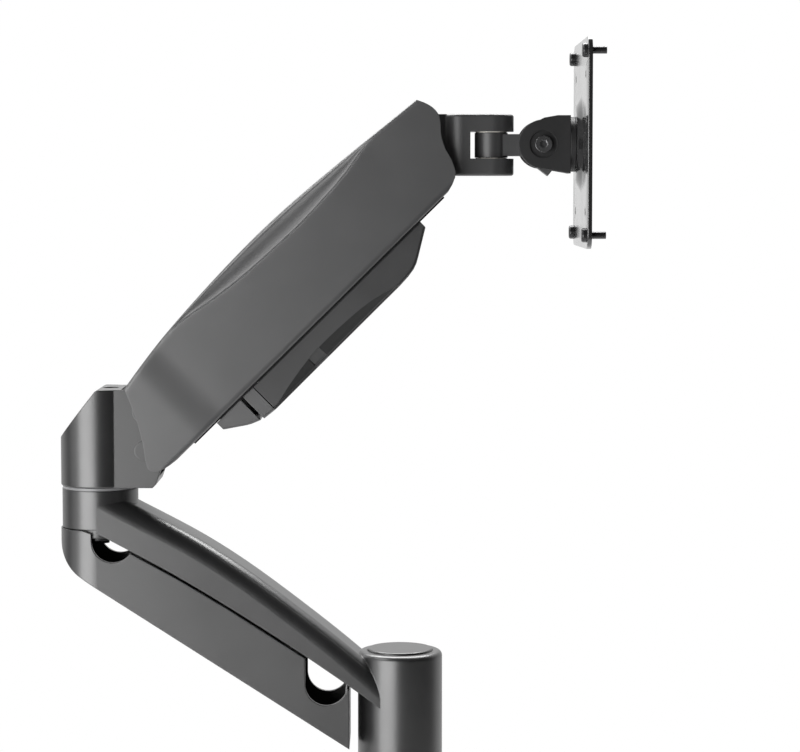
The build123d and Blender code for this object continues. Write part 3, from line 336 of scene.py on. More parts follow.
# %% [markdown]
# ## One recipe for all finishes
# The recipe lays a grain over a rounded edge for the normal, mixes two close tones by the mottle
# for the colour, lightens the edges by the wear mask, and lets the mottle move the roughness.
# Values that are the same all over go straight on the shader.

# %% The finish recipe
MATT_ROUGHNESS = 0.75
COAT_ROUGHNESS = 0.12


def make_finish(name, tone, other_tone, edge_tone, gloss, grain, edge=0.0005, wear=0.25,
                metallic=0.0, specular=0.5, coat=0.0, lines=False, painted_shade_tone=None):
    """gloss is the least and most roughness. grain is its scale and its depth in metres.
    The last argument, a tone, is painted on the faces that carry the lean mark, as painted shade; those
    faces are also rougher, a real matt finish."""
    material = bpy.data.materials.new(name)
    material.use_nodes = True
    nodes, links = material.node_tree.nodes, material.node_tree.links
    shader = nodes["Principled BSDF"]
    shader.inputs["Metallic"].default_value = metallic
    shader.inputs["Specular IOR Level"].default_value = specular
    shader.inputs["Coat Weight"].default_value = coat
    shader.inputs["Coat Roughness"].default_value = COAT_ROUGHNESS
    mottle = nodes.new("ShaderNodeGroup")
    mottle.node_tree = soft_mottle
    rounded = nodes.new("ShaderNodeGroup")
    rounded.node_tree = worn_edge
    rounded.inputs["Radius"].default_value = edge
    rounded.inputs["Wear"].default_value = wear
    skin = nodes.new("ShaderNodeGroup")
    skin.node_tree = drawn_lines if lines else fine_grain
    skin.inputs["Scale"].default_value = grain[0]
    body = nodes.new("ShaderNodeMix")
    body.data_type = "RGBA"
    body.inputs[6].default_value = (*tone, 1)
    body.inputs[7].default_value = (*other_tone, 1)
    worn = nodes.new("ShaderNodeMix")
    worn.data_type = "RGBA"
    worn.inputs[7].default_value = (*edge_tone, 1)
    rough = nodes.new("ShaderNodeMapRange")
    rough.inputs["To Min"].default_value, rough.inputs["To Max"].default_value = gloss
    bump = nodes.new("ShaderNodeBump")
    bump.inputs["Strength"].default_value = 1.0
    bump.inputs["Distance"].default_value = grain[1]
    links.new(mottle.outputs["Amount"], body.inputs[0])
    links.new(body.outputs[2], worn.inputs[6])
    links.new(rounded.outputs["Mask"], worn.inputs[0])
    colour, roughness = worn.outputs[2], rough.outputs[0]
    # Faces with the lean mark get a darker colour, which is painted shade, and a higher roughness, which is
    # their real matt finish.
    if painted_shade_tone:
        mark = nodes.new("ShaderNodeAttribute")
        mark.attribute_name = "matt"
        painted_shade_mix = nodes.new("ShaderNodeMix")
        painted_shade_mix.data_type = "RGBA"
        painted_shade_mix.inputs[7].default_value = (*painted_shade_tone, 1)
        matt = nodes.new("ShaderNodeMix")
        matt.inputs[3].default_value = MATT_ROUGHNESS
        for mix in (painted_shade_mix, matt):
            links.new(mark.outputs["Fac"], mix.inputs[0])
        links.new(colour, painted_shade_mix.inputs[6])
        links.new(roughness, matt.inputs[2])
        colour, roughness = painted_shade_mix.outputs[2], matt.outputs[0]
    links.new(colour, shader.inputs["Base Color"])
    links.new(mottle.outputs["Amount"], rough.inputs["Value"])
    links.new(roughness, shader.inputs["Roughness"])
    links.new(skin.outputs["Height"], bump.inputs["Height"])
    links.new(rounded.outputs["Normal"], bump.inputs["Normal"])
    links.new(bump.outputs["Normal"], shader.inputs["Normal"])
    return material


def grey(value, cool=1.02):
    """A neutral tone, a trace cool."""
    return (value, value, value * cool)


# %% [markdown]
# ## The finishes
# The covers are satin moulded plastic. The castings are powder coated and darker. The head has a
# coarser, duller coat, the plate is smooth black, and the cable cover is dark plastic whose leaning
# band is painted darker as painted shade. The arm's tray is black, painted darker still as painted
# shade in the gap under the covers. The rest is black oxide, bright plating, rubber, acetal and
# glossy paint.

# %% Mix the finishes
FINISH = {
    "cover_plastic": make_finish("satin_cover", grey(0.038), grey(0.042), grey(0.07), (0.30, 0.34),
                                 (2600, 0.000010), 0.0003, 0.20, specular=0.90),
    "arm_coat": make_finish("arm_powder_coat", grey(0.011), grey(0.014), grey(0.05), (0.32, 0.37),
                            (2200, 0.000014), 0.0009, 0.20, specular=0.90),
    # The cable cover's leaning faces get a darker tone, which is painted shade, beside their real matt
    # roughness.
    "cable_plastic": make_finish("cable_cover_plastic", grey(0.020), grey(0.024), grey(0.07), (0.34, 0.42),
                                 (2400, 0.000014), 0.0004, 0.3, specular=0.55, painted_shade_tone=grey(0.006)),
    "head_coat": make_finish("head_powder_coat", grey(0.013), grey(0.018), grey(0.10), (0.40, 0.50),
                             (1500, 0.000030), 0.0006, 0.4, specular=0.22),
    "yoke_coat": make_finish("yoke_powder_coat", grey(0.030), grey(0.036), grey(0.10), (0.38, 0.46),
                             (1700, 0.000022), 0.0006, 0.3, specular=0.55),
    "bolt_satin": make_finish("satin_bolt", grey(0.16), grey(0.20), grey(0.40), (0.24, 0.32),
                              (1900, 0.000008), 0.0003, 0.4, metallic=1.0),
    # The tray is black, and its tone is made darker and duller still as painted shade in the gap between the
    # side covers and the cable cover.
    "gap_shade_black": make_finish("tray_black", grey(0.004), grey(0.006), grey(0.02), (0.5, 0.6),
                              (1700, 0.000020), 0.0004, 0.2, specular=0.2),
    "plate_black": make_finish("plate_black", grey(0.012), grey(0.016), grey(0.09), (0.13, 0.19),
                               (1800, 0.000006), 0.0005, 0.3, specular=0.8, coat=0.5),
    "steel_black": make_finish("black_steel", grey(0.018), grey(0.024), grey(0.16), (0.36, 0.46),
                               (1600, 0.000020), 0.0006, 0.5),
    "black_screw": make_finish("black_oxide", grey(0.035), grey(0.048), grey(0.22), (0.26, 0.36),
                               (1900, 0.000010), 0.0003, 0.5, metallic=0.8),
    "bright_steel": make_finish("bright_plating", grey(0.55), grey(0.62), grey(0.75), (0.20, 0.30),
                                (1400, 0.000006), 0.0003, 0.3, metallic=1.0, lines=True),
    "bush_plastic": make_finish("acetal_bush", (0.66, 0.64, 0.58), (0.70, 0.68, 0.62), grey(0.8, 1.0),
                                (0.34, 0.42), (1500, 0.000010), 0.0003, 0.2),
    "grey_washer": make_finish("grey_washer", grey(0.16), grey(0.19), grey(0.3), (0.34, 0.42),
                               (1500, 0.000010), 0.0003, 0.2),
    "pad_rubber": make_finish("pad_rubber", grey(0.020), grey(0.026), grey(0.05), (0.62, 0.74),
                              (1300, 0.000040), 0.0006, 0.3, specular=0.35),
    "gas_paint": make_finish("gas_spring_paint", grey(0.012), grey(0.016), grey(0.10), (0.14, 0.22),
                             (900, 0.000006), 0.0004, 0.4, coat=0.4),
    "knob_plastic": make_finish("knob_plastic", grey(0.022), grey(0.028), grey(0.09), (0.42, 0.52),
                                (1400, 0.000030), 0.0006, 0.3),
}
print(len(FINISH), "finishes")

# %% [markdown]
# ## Finishes on the solids
# A solid whose shape is already right keeps its mesh and only gets a finish.

# %% Give each solid its finish
SOLID_FINISH = {
    "arm_coat": ("lower_arm_casting", "lower_arm_cover", "turret_housing", "base_cap", "rear_pin",
                 "tie_pins_rear"),
    "head_coat": ("tilt_bracket", "turn_disc"),
    "yoke_coat": ("yoke", "swivel_link"),
    "bolt_satin": ("tilt_bolt", "tilt_nut"),
    "steel_black": ("base_plate", "base_post", "clamp_bracket", "clamp_nut", "clamp_pad", "arm_channel",
                    "tie_bars"),
    "gap_shade_black": ("arm_tray",),
    "black_screw": ("post_screw", "post_top_screw", "bracket_screws", "cover_screws", "elbow_screw",
                    "tension_screw", "cover_fixings", "centre_bolt", "vesa_screws",
                    "swivel_pin", "elbow_retainer", "post_washer", "tension_slider", "gas_rod_end"),
    "bright_steel": ("clamp_screw", "elbow_shaft", "slider_pin",
                     "front_pin", "gas_rod", "gas_piston", "gas_pin", "tie_pin_front"),
    "bush_plastic": ("base_bushes", "elbow_bush", "rear_bushes", "front_spacers", "swivel_washers",
                     "tilt_washers", "gas_guide"),
    "gas_paint": ("gas_cylinder",),
    "knob_plastic": ("clamp_knob",),
    "grey_washer": ("elbow_washer",),
}


def give_finish(piece, material):
    if not piece.material_slots:
        piece.data.materials.append(material)
    for place in piece.material_slots:
        place.material = material


for finish, names in SOLID_FINISH.items():
    for name in names:
        give_finish(frame["nodes"][name], FINISH[finish])
print(sum(len(n) for n in SOLID_FINISH.values()), "solids finished")

# %% [markdown]
# ## Helpers for modelling
# The arm's covers are easiest to describe in the arm's own directions: s runs along it from the
# rear pivot to the front one, d stands square to it in the side view, and y is across. The two
# pivots come from the frame's joints.

# %% The arm's own directions
joint = {j["name"]: j for j in frame["joints"]}
rear_pivot = Vector(joint["arm_lift"]["pos_m"])
front_pivot = Vector(joint["yoke_level"]["pos_m"])
along = (front_pivot - rear_pivot).normalized()
square = Vector((-along.z, 0, along.x))


def on_arm(s, d, y):
    """A point from millimetres along, square to and across the arm."""
    return rear_pivot + (along * s + square * d + Vector((0, y, 0))) * MM


def on_line(points, x):
    """The height of a broken line at x."""
    if x <= points[0][0]:
        return points[0][1]
    for (x0, h0), (x1, h1) in zip(points, points[1:]):
        if x <= x1:
            return h0 + (h1 - h0) * (x - x0) / (x1 - x0)
    return points[-1][1]


def on_curve(points, x):
    """The height of a smooth curve through the points at x."""
    x = min(max(x, points[0][0]), points[-1][0])
    slopes = []
    for i in range(len(points)):
        before, after = points[max(i - 1, 0)], points[min(i + 1, len(points) - 1)]
        slopes.append((after[1] - before[1]) / (after[0] - before[0]))
    for i in range(len(points) - 1):
        (x0, h0), (x1, h1) = points[i], points[i + 1]
        if x <= x1:
            w, t = x1 - x0, (x - x0) / (x1 - x0)
            return (h0 * (2 * t**3 - 3 * t**2 + 1) + slopes[i] * w * (t**3 - 2 * t**2 + t)
                    + h1 * (3 * t**2 - 2 * t**3) + slopes[i + 1] * w * (t**3 - t**2))
    return points[-1][1]


def smooth_step(low, high, x):
    t = min(max((x - low) / (high - low), 0.0), 1.0)
    return t * t * (3 - 2 * t)


print("arm length", round((front_pivot - rear_pivot).length / MM, 1), "mm")

# %% [markdown]
# Edit mode works on what is selected, so each step deselects everything first and then picks faces
# or edges by where they are. `pick` does that for one piece.

# %% Selecting and finishing
def start_alone():
    if bpy.context.object and bpy.context.object.mode != "OBJECT":
        bpy.ops.object.mode_set(mode="OBJECT")
    bpy.ops.object.select_all(action="DESELECT")


def edit(piece):
    start_alone()
    piece.select_set(True)
    bpy.context.view_layer.objects.active = piece
    bpy.ops.object.mode_set(mode="EDIT")
    bpy.ops.mesh.select_all(action="DESELECT")


def pick(piece, kind, test):
    """Selects the faces, edges or verts of the piece in edit mode that pass the test."""
    bpy.ops.mesh.select_mode(type={"faces": "FACE", "edges": "EDGE", "verts": "VERT"}[kind])
    bpy.ops.mesh.select_all(action="DESELECT")
    mesh = bmesh.from_edit_mesh(piece.data)
    chosen = [item for item in getattr(mesh, kind) if test(item)]
    for item in chosen:
        item.select_set(True)
    mesh.select_flush_mode()
    bmesh.update_edit_mesh(piece.data)
    return len(chosen)


def use_modifier(piece, kind, **settings):
    start_alone()
    piece.select_set(True)
    bpy.context.view_layer.objects.active = piece
    modifier = piece.modifiers.new(kind.lower(), kind)
    for name, value in settings.items():
        setattr(modifier, name, value)
    bpy.ops.object.modifier_apply(modifier=modifier.name)


def settle(piece, angle=32):
    """Applies the place, sets the shading by angle and leaves the object at the origin."""
    start_alone()
    piece.select_set(True)
    bpy.context.view_layer.objects.active = piece
    bpy.ops.object.transform_apply(location=True, rotation=True, scale=True)
    bpy.ops.object.shade_smooth_by_angle(angle=radians(angle))


def stand_in(piece, name, body, finish, slot, *nodes):
    """Names the piece, gives it its finish, and puts it in place of the solids."""
    piece.name = name
    piece.data.name = name
    piece.data.materials.clear()
    piece.data.materials.append(FINISH[finish])
    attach(piece, body)
    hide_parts(*nodes)
    print(name, len(piece.data.polygons), "faces")


def formed_sheet(columns, rows, place):
    """A grid whose points are set by place(column, row), both from 0."""
    start_alone()
    bpy.ops.mesh.primitive_grid_add(x_subdivisions=columns, y_subdivisions=rows, size=2)
    piece = bpy.context.object
    for vertex in piece.data.vertices:
        column = round((vertex.co.x + 1) / 2 * columns)
        row = round((vertex.co.y + 1) / 2 * rows)
        vertex.co = place(column, row)
    return piece


def face_outwards(piece, sample, outward):
    """Turns the sheet's faces round if the one nearest the sample point looks the wrong way."""
    nearest = min(piece.data.polygons, key=lambda f: (f.center - sample).length)
    if nearest.normal.dot(outward) < 0:
        edit(piece)
        bpy.ops.mesh.select_all(action="SELECT")
        bpy.ops.mesh.flip_normals()
        bpy.ops.object.mode_set(mode="OBJECT")


# %% [markdown]
# ## The arm's side covers
# Each cover is one moulding: a flat side, a long scoop under its top edge that ends in an S-shaped
# crease, and half of a gently crowned top. It could be cut from a block, but its section changes
# all the way along, so a grid is laid over it instead, with its columns along the arm and its rows
# from the bottom edge, over the crease, to the middle of the top.

# %% The covers' lines in the side view
TOP_LINE = [(-22, 11.8), (2.1, 17.1), (40.4, 22.6), (99.7, 25.9), (146.1, 24.7), (229.1, 16.9), (233, 16.4)]
FRONT_EDGE = [(-32.0, 206.5), (-30.3, 212.5), (-28.4, 215.9), (-26.0, 218.0), (-20.1, 220.6), (-13.6, 222.4),
              (-6.8, 226.0), (-1.8, 230.4), (1.5, 232.6), (5.8, 233.3), (10.7, 232.4), (16.9, 229.6)]
REAR_EDGE = [(-32.0, -5.0), (-31.0, -12.5), (-29.0, -17.6), (-24.5, -20.3), (-13.0, -12.8), (-2.0, -6.3),
             (8.0, -1.6), (17.1, 2.1), (20.0, 3.2)]
CREASE_DROP = [(-25, 1.4), (20, 1.4), (43.5, 1.5), (58, 4.2), (74.8, 8.2), (96.5, 11.4), (119.3, 12.6),
               (135.6, 12.5), (158.7, 10.0), (176.5, 6.6), (192.6, 2.2), (204, 1.5), (235, 1.4)]
BOTTOM = -32.0
FOOT_ROUND = 1.3
SIDE_Y = 25.4
WAIST = 0.9
WAIST_START, WAIST_END = 11.5, 33.0
SHUT_DROP = 1.4
OPEN_DROP = 11.2
SCOOP_DEPTH = 3.3
CREASE_IN = 0.22
LIP_STEP = 0.8
LIP_HEIGHT = 0.5
SHUT_CORNER = 0.75
CORNER_GROWTH = 1.9
CROWN = 0.45
WALL = 2.0
CHEEK_END, CHEEK_HALF = 6.0, 22.8
YOKE_START, YOKE_HALF = 196, 15.5
SIDE_ROWS = 26
SCOOP_STEPS = (0.05, 0.12, 0.22, 0.36, 0.52, 0.70, 0.86, 1.0)
ROUND_STEPS = (0.2, 0.4, 0.6, 0.8, 1.0)
TOP_STOPS = (CHEEK_HALF, YOKE_HALF, 10.0, 5.0, 0.1)


def cover_section(s):
    """The points (d, y) of the cover's section at s, from the bottom edge to the middle of the top."""
    top = on_curve(TOP_LINE, s)
    drop = on_curve(CREASE_DROP, s)
    side = SIDE_Y - WAIST * smooth_step(WAIST_START, WAIST_END, s)
    low = BOTTOM + FOOT_ROUND
    points = [(BOTTOM, side - FOOT_ROUND), (BOTTOM + 0.2, side - 0.6), (BOTTOM + 0.6, side - 0.2),
              (low, side)]
    crease = top - drop
    points += [(low + (crease - 0.8 - low) * i / SIDE_ROWS, side) for i in range(1, SIDE_ROWS + 1)]
    points += [(crease - 0.35, side - 0.03), (crease, side - 0.16)]
    open_part = max(drop - SHUT_DROP, 0.0) / OPEN_DROP
    corner = SHUT_CORNER + CORNER_GROWTH * open_part
    depth = SCOOP_DEPTH * open_part
    edge = top - CROWN - corner
    lip = min(LIP_HEIGHT, 0.3 * (edge - crease))
    step = LIP_STEP * min(open_part * 6, 1.0)
    points += [(crease + 0.4 * lip, side - 0.20 - step), (crease + lip, side - CREASE_IN - step * 0.9)]
    for t in SCOOP_STEPS:
        height = crease + lip + (edge - crease - lip) * t
        points.append((height, side - CREASE_IN - step * 0.9 - depth * (1 - (1 - t) ** 1.5)))
    edge_y = points[-1][1]
    for t in ROUND_STEPS:
        angle = t * pi / 2
        points.append((edge + corner * sin(angle), edge_y - corner + corner * cos(angle)))
    inner = edge_y - corner
    for y in TOP_STOPS:
        y = min(y, inner - 0.2)
        points.append((top - CROWN * (y / inner) ** 2, y))
    return points


COVER_ROWS = len(cover_section(100)) - 1
COVER_COLUMNS = 120
COVER_LENGTH = 225
EDGE_STEPS = 14


def cover_point(column, row):
    """Columns run between the rear and front edges. Those depend on the height, which depends on
    the place along the arm, so the place is found in steps."""
    share = column / COVER_COLUMNS
    s = share * COVER_LENGTH
    for _ in range(EDGE_STEPS):
        d, y = cover_section(s)[row]
        rear, front = on_curve(REAR_EDGE, d), on_curve(FRONT_EDGE, d)
        s = rear + (front - rear) * share
    return on_arm(s, d, -y)


near_cover = formed_sheet(COVER_COLUMNS, COVER_ROWS, cover_point)
face_outwards(near_cover, on_arm(100, -5, -SIDE_Y), Vector((0, -1, 0)))
print("cover grid", COVER_COLUMNS, "by", COVER_ROWS)

# %% [markdown]
# The top is open at both ends: at the rear for the turret's cheeks, and at the front for the yoke.
# Those faces are picked by place and deleted before the sheet gets its thickness.

# %% Open the ends and give the cover its wall
def arm_place(point):
    """Where a point is in the arm's own directions, in millimetres."""
    offset = point - rear_pivot
    return offset.dot(along) / MM, offset.dot(square) / MM, point.y / MM


def over_an_end(face):
    s, d, y = arm_place(face.calc_center_median())
    return d > 0 and ((s < CHEEK_END and abs(y) < CHEEK_HALF) or (s > YOKE_START and abs(y) < YOKE_HALF))


edit(near_cover)
opened = pick(near_cover, "faces", over_an_end)
bpy.ops.mesh.delete(type="FACE")
bpy.ops.object.mode_set(mode="OBJECT")
use_modifier(near_cover, "SOLIDIFY", thickness=WALL * MM, offset=-1.0, use_even_offset=True)
settle(near_cover, 38)
print("opened", opened, "faces at the ends")

# %% [markdown]
# The far cover is the same moulding the other way round. Mirroring turns its faces inside out, so
# they are turned back.

# %% Copy the cover to the far side
far_cover = near_cover.copy()
far_cover.data = near_cover.data.copy()
bpy.context.collection.objects.link(far_cover)
far_cover.data.transform(Matrix.Diagonal((1, -1, 1, 1)))
far_cover.data.flip_normals()
stand_in(near_cover, "near_side_cover", "spring_arm", "cover_plastic", "cover_plastic", "left_cover")
stand_in(far_cover, "far_side_cover", "spring_arm", "cover_plastic", "cover_plastic", "right_cover")

# %% [markdown]
# ## The cable cover
# Three troughs clip under the arm: the long cover, a band and an end piece. Their sides lean in
# below a slanting line. On the long one this leaning band is rougher, a real matt finish, and its
# colour is painted darker as painted shade. Each is a grid across the section, from one rim round
# the floor to the other, with its columns along the arm.

# %% The troughs' lines
TROUGH_TOP = -33.1
TROUGH_HALF = 20.5
TROUGH_WALL = 1.8
LONG_FLOOR = [(53.5, -50.8), (100, -50.7), (151.5, -50.4), (158.0, -50.0), (163.0, -49.2), (166.5, -47.9),
              (169.5, -46.2), (183.6, -37.5), (184.0, -37.2)]
LONG_LEAN = [(53.5, -50.2), (60, -48.4), (71, -46.0), (84, -43.9), (95, -43.0), (112, -43.2), (132, -44.8),
             (148, -48.6), (152, -50.0), (184, -50.0)]
BAND_FLOOR = [(45.2, -50.0), (53.0, -50.8)]
END_FLOOR = [(24.6, -38.4), (25.7, -39.2), (35.5, -45.8), (38.0, -47.2), (43.0, -49.2)]
LONG_BENDS = (151.5, 163.0, 166.5, 169.5, 183.6)
TAB = (86.0, 95.0)
TAB_TOP = -43.5
LEAN_HEIGHT = 0.9
LEAN_SHARE = 0.60
FLOOR_CORNER = 1.6
NO_LEAN = -99


def trough_section(floor, lean, side_rows=6, floor_rows=5):
    """The points (d, y) from the near rim to the middle of the floor."""
    lean = max(lean, floor + LEAN_HEIGHT)
    tuck = LEAN_SHARE * (lean - floor - LEAN_HEIGHT)
    corner = min(FLOOR_CORNER, (TROUGH_TOP - floor) * 0.3)
    lean = max(lean, floor + corner + 0.1)
    points = [(TROUGH_TOP + (lean - TROUGH_TOP) * i / side_rows, TROUGH_HALF)
              for i in range(side_rows + 1)]
    low = floor + corner
    for i in (1, 2, 3):
        points.append((lean + (low - lean) * i / 3, TROUGH_HALF - tuck * i / 3))
    for i in (1, 2, 3, 4):
        angle = i * pi / 8
        points.append((low - corner * sin(angle), TROUGH_HALF - tuck - corner + corner * cos(angle)))
    inner = TROUGH_HALF - tuck - corner
    points += [(floor, inner * (1 - i / floor_rows)) for i in range(1, floor_rows + 1)]
    return points


def make_trough(stations, floor_line, lean_line):
    """A trough whose section is set at each station along the arm."""
    half_rows = len(trough_section(-50, -45)) - 1

    def place(column, row):
        s = stations[column]
        lean = on_curve(lean_line, s) if lean_line else NO_LEAN
        section = trough_section(on_line(floor_line, s), lean)
        d, y = section[min(row, 2 * half_rows - row)]
        return on_arm(s, d, -y if row <= half_rows else y)

    piece = formed_sheet(len(stations) - 1, 2 * half_rows, place)
    middle = (stations[0] + stations[-1]) / 2
    face_outwards(piece, on_arm(middle, on_line(floor_line, middle), 0), -square)
    return piece


def spaced(low, high, step, *extra):
    count = max(1, round((high - low) / step))
    return sorted({round(low + (high - low) * i / count, 3) for i in range(count + 1)} | set(extra))


long_stations = spaced(LONG_FLOOR[0][0], LONG_FLOOR[-1][0], 2.0, *TAB, *LONG_BENDS)
long_trough = make_trough(long_stations, LONG_FLOOR, LONG_LEAN)

# %% [markdown]
# A small press tab sits in the leaning part of each side. Its faces are picked, inset and pushed
# in a little, as a mould would leave them.

# %% Press in the tabs and hook the cover
HOOK_SIZE = (6.0, 1.6, 8.4)
HOOK_D, HOOK_Y = -34.2, 17.3
BARB_OUT, BARB_DOWN = 1.6, 0.4
MATT_AND_SHADE_END = 150


def on_the_tab(face):
    s, d, y = arm_place(face.calc_center_median())
    return TAB[0] < s < TAB[1] and d < TAB_TOP and 17.0 < abs(y) < 20.4


def add_hooks(piece, places):
    """Clips that stand up from the trough's sides into the tray's slots."""
    made = [piece]
    for s in places:
        for side in (-1, 1):
            start_alone()
            bpy.ops.mesh.primitive_cube_add(size=MM)
            hook = bpy.context.object
            hook.rotation_euler = (0, -atan2(along.z, along.x), 0)
            hook.scale = HOOK_SIZE
            hook.location = on_arm(s, HOOK_D, side * HOOK_Y)
            bpy.ops.object.transform_apply(location=True, rotation=True, scale=True)
            edit(hook)
            pick(hook, "faces", lambda f: f.normal.dot(square) < -0.9)
            barb = Vector((0, side * BARB_OUT * MM, 0)) - square * BARB_DOWN * MM
            bpy.ops.mesh.extrude_region_move(TRANSFORM_OT_translate={"value": barb})
            bpy.ops.object.mode_set(mode="OBJECT")
            use_modifier(hook, "BEVEL", width=0.25 * MM, segments=2, limit_method="ANGLE")
            made.append(hook)
    start_alone()
    for item in made:
        item.select_set(True)
    bpy.context.view_layer.objects.active = piece
    bpy.ops.object.join()


def mark_matt_and_shade(piece):
    """Marks the leaning outer faces: the mark makes them rougher, a real matt finish, and darker in colour,
    a painted shade.
    """
    mark = piece.data.attributes.new("matt", "FLOAT", "FACE")
    for face, value in zip(piece.data.polygons, mark.data):
        s, d, y = arm_place(face.center)
        leans = -0.95 < face.normal.dot(square) < -0.30 and face.normal.y * y > 0.25
        on_tab = TAB[0] < s < TAB[1] and d < TAB_TOP
        value.value = 1.0 if leans and s < MATT_AND_SHADE_END and not on_tab else 0.0


edit(long_trough)
tab_faces = pick(long_trough, "faces", on_the_tab)
bpy.ops.mesh.inset(thickness=0.35 * MM, depth=-0.55 * MM)
bpy.ops.object.mode_set(mode="OBJECT")
use_modifier(long_trough, "SOLIDIFY", thickness=TROUGH_WALL * MM, offset=-1.0, use_even_offset=True)
add_hooks(long_trough, (75.0, 120.0, 165.0))
settle(long_trough, 25)
mark_matt_and_shade(long_trough)
stand_in(long_trough, "long_cable_cover", "cable_cover_body", "cable_plastic", "dark_plastic", "cable_cover")
print("tab faces", tab_faces)

# %% Make the band and the end piece
band = make_trough(spaced(BAND_FLOOR[0][0], BAND_FLOOR[-1][0], 2.0), BAND_FLOOR, None)
use_modifier(band, "SOLIDIFY", thickness=TROUGH_WALL * MM, offset=-1.0, use_even_offset=True)
add_hooks(band, (49.0,))
settle(band, 25)
stand_in(band, "cable_cover_band", "spring_arm", "cover_plastic", "dark_plastic", "cable_band")

end_piece = make_trough(spaced(24.6, 43.0, 1.6, 25.7, 35.5, 38.0), END_FLOOR, None)
use_modifier(end_piece, "SOLIDIFY", thickness=TROUGH_WALL * MM, offset=-1.0, use_even_offset=True)
add_hooks(end_piece, (30.0,))
settle(end_piece, 25)
stand_in(end_piece, "cable_cover_end", "spring_arm", "cover_plastic", "dark_plastic", "cable_end_piece")

# %% [markdown]
# ## The square plate
# The plate is pressed from sheet steel. Its middle is drawn out towards the arm into a shallow
# dish with soft bends. Rings of points are extruded from a circle, inwards down into the dish and
# outwards to the square edge. The sheet then gets its thickness, its holes and its rounded edge.

# %% Press the plate
plate_low, plate_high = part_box("vesa_plate")
PLATE_MIDDLE = (plate_low + plate_high) / 2
PLATE_SHEET = 2.4
PLATE_BACK = plate_high.x / MM - PLATE_SHEET
DISH_BACK = plate_low.x / MM
PLATE_HALF = (plate_high.z - plate_low.z) / 2 / MM
PLATE_CORNER = 8.0
DISH_RIM = 28.6
DISH_RINGS = [(27.6, PLATE_BACK), (26.6, PLATE_BACK - 0.12), (25.6, PLATE_BACK - 0.45),
              (24.4, PLATE_BACK - 1.1), (22.6, PLATE_BACK - 2.1), (21.4, DISH_BACK + 0.45),
              (20.4, DISH_BACK + 0.12), (19.2, DISH_BACK), (12.0, DISH_BACK), (4.05, DISH_BACK)]
HOLE_R = 2.3


def edge_point(angle, half, corner):
    """Where a ray from the middle meets a square with rounded corners, in its own plane."""
    c, s = cos(angle), sin(angle)
    reach = half / max(abs(c), abs(s))
    y, z = reach * c, reach * s
    inner = half - corner
    if abs(y) > inner and abs(z) > inner:
        cy, cz = inner * (1 if y > 0 else -1), inner * (1 if z > 0 else -1)
        b = c * cy + s * cz
        reach = b + (b * b - (cy * cy + cz * cz - corner * corner)) ** 0.5
        y, z = reach * c, reach * s
    return y, z


def ring_out(piece, place):
    """Extrudes the selected ring in place and moves its points to where place says."""
    bpy.ops.mesh.extrude_edges_move()
    mesh = bmesh.from_edit_mesh(piece.data)
    for vertex in mesh.verts:
        if vertex.select:
            vertex.co = place(vertex.co)
    bmesh.update_edit_mesh(piece.data)


def circle_at(radius, x):
    def place(point):
        angle = atan2(point.z - PLATE_MIDDLE.z, point.y)
        return Vector((x * MM, radius * MM * cos(angle), PLATE_MIDDLE.z + radius * MM * sin(angle)))
    return place


def square_at(half, corner, x):
    def place(point):
        y, z = edge_point(atan2(point.z - PLATE_MIDDLE.z, point.y), half, corner)
        return Vector((x * MM, y * MM, PLATE_MIDDLE.z + z * MM))
    return place


def on_the_rim(point):
    return abs((point - Vector((point.x, 0, PLATE_MIDDLE.z))).length - DISH_RIM * MM) < 0.02 * MM


def press_plate():
    start_alone()
    bpy.ops.mesh.primitive_circle_add(vertices=128, radius=DISH_RIM * MM, rotation=(0, pi / 2, 0),
                                      location=(PLATE_BACK * MM, 0, PLATE_MIDDLE.z))
    plate = bpy.context.object
    bpy.ops.object.transform_apply(location=True, rotation=True, scale=True)
    edit(plate)
    bpy.ops.mesh.select_mode(type="EDGE")
    bpy.ops.mesh.select_all(action="SELECT")
    for radius, x in DISH_RINGS:
        ring_out(plate, circle_at(radius, x))
    pick(plate, "edges", lambda e: all(on_the_rim(v.co) for v in e.verts))
    ring_out(plate, square_at(40.0, 20.0, PLATE_BACK))
    ring_out(plate, square_at(PLATE_HALF, PLATE_CORNER, PLATE_BACK))
    bpy.ops.object.mode_set(mode="OBJECT")
    face_outwards(plate, Vector((PLATE_BACK * MM, 0, PLATE_MIDDLE.z + 45 * MM)), Vector((-1, 0, 0)))
    use_modifier(plate, "SOLIDIFY", thickness=PLATE_SHEET * MM, offset=-1.0, use_even_offset=False)
    return plate


square_plate = press_plate()
print("dish", round(PLATE_BACK - DISH_BACK, 2), "mm deep on a plate", round(2 * PLATE_HALF, 1), "mm across")

# %% [markdown]
# Two patterns of screw holes, 100 mm and 75 mm apart, go through the sheet. One rod is made, copied
# to every place and subtracted.

# %% Drill the plate
def drill(piece, places, radius):
    rods = []
    for y, z in places:
        start_alone()
        bpy.ops.mesh.primitive_cylinder_add(vertices=32, radius=radius * MM, depth=12 * MM,
                                            rotation=(0, pi / 2, 0),
                                            location=(PLATE_BACK * MM, y * MM, PLATE_MIDDLE.z + z * MM))
        rods.append(bpy.context.object)
    start_alone()
    for rod in rods:
        rod.select_set(True)
    bpy.context.view_layer.objects.active = rods[0]
    bpy.ops.object.join()
    bpy.ops.object.transform_apply(location=True, rotation=True, scale=True)
    use_modifier(piece, "BOOLEAN", object=rods[0], operation="DIFFERENCE", solver="EXACT")
    bpy.data.objects.remove(rods[0])


HOLES = [(y, z) for half in (50.0, 37.5) for y in (-half, half) for z in (-half, half)]
drill(square_plate, HOLES, HOLE_R)
use_modifier(square_plate, "BEVEL", width=0.45 * MM, segments=3, limit_method="ANGLE",
             angle_limit=radians(50))
settle(square_plate, 30)
stand_in(square_plate, "square_plate", "plate_body", "plate_black", "steel_sheet", "vesa_plate")

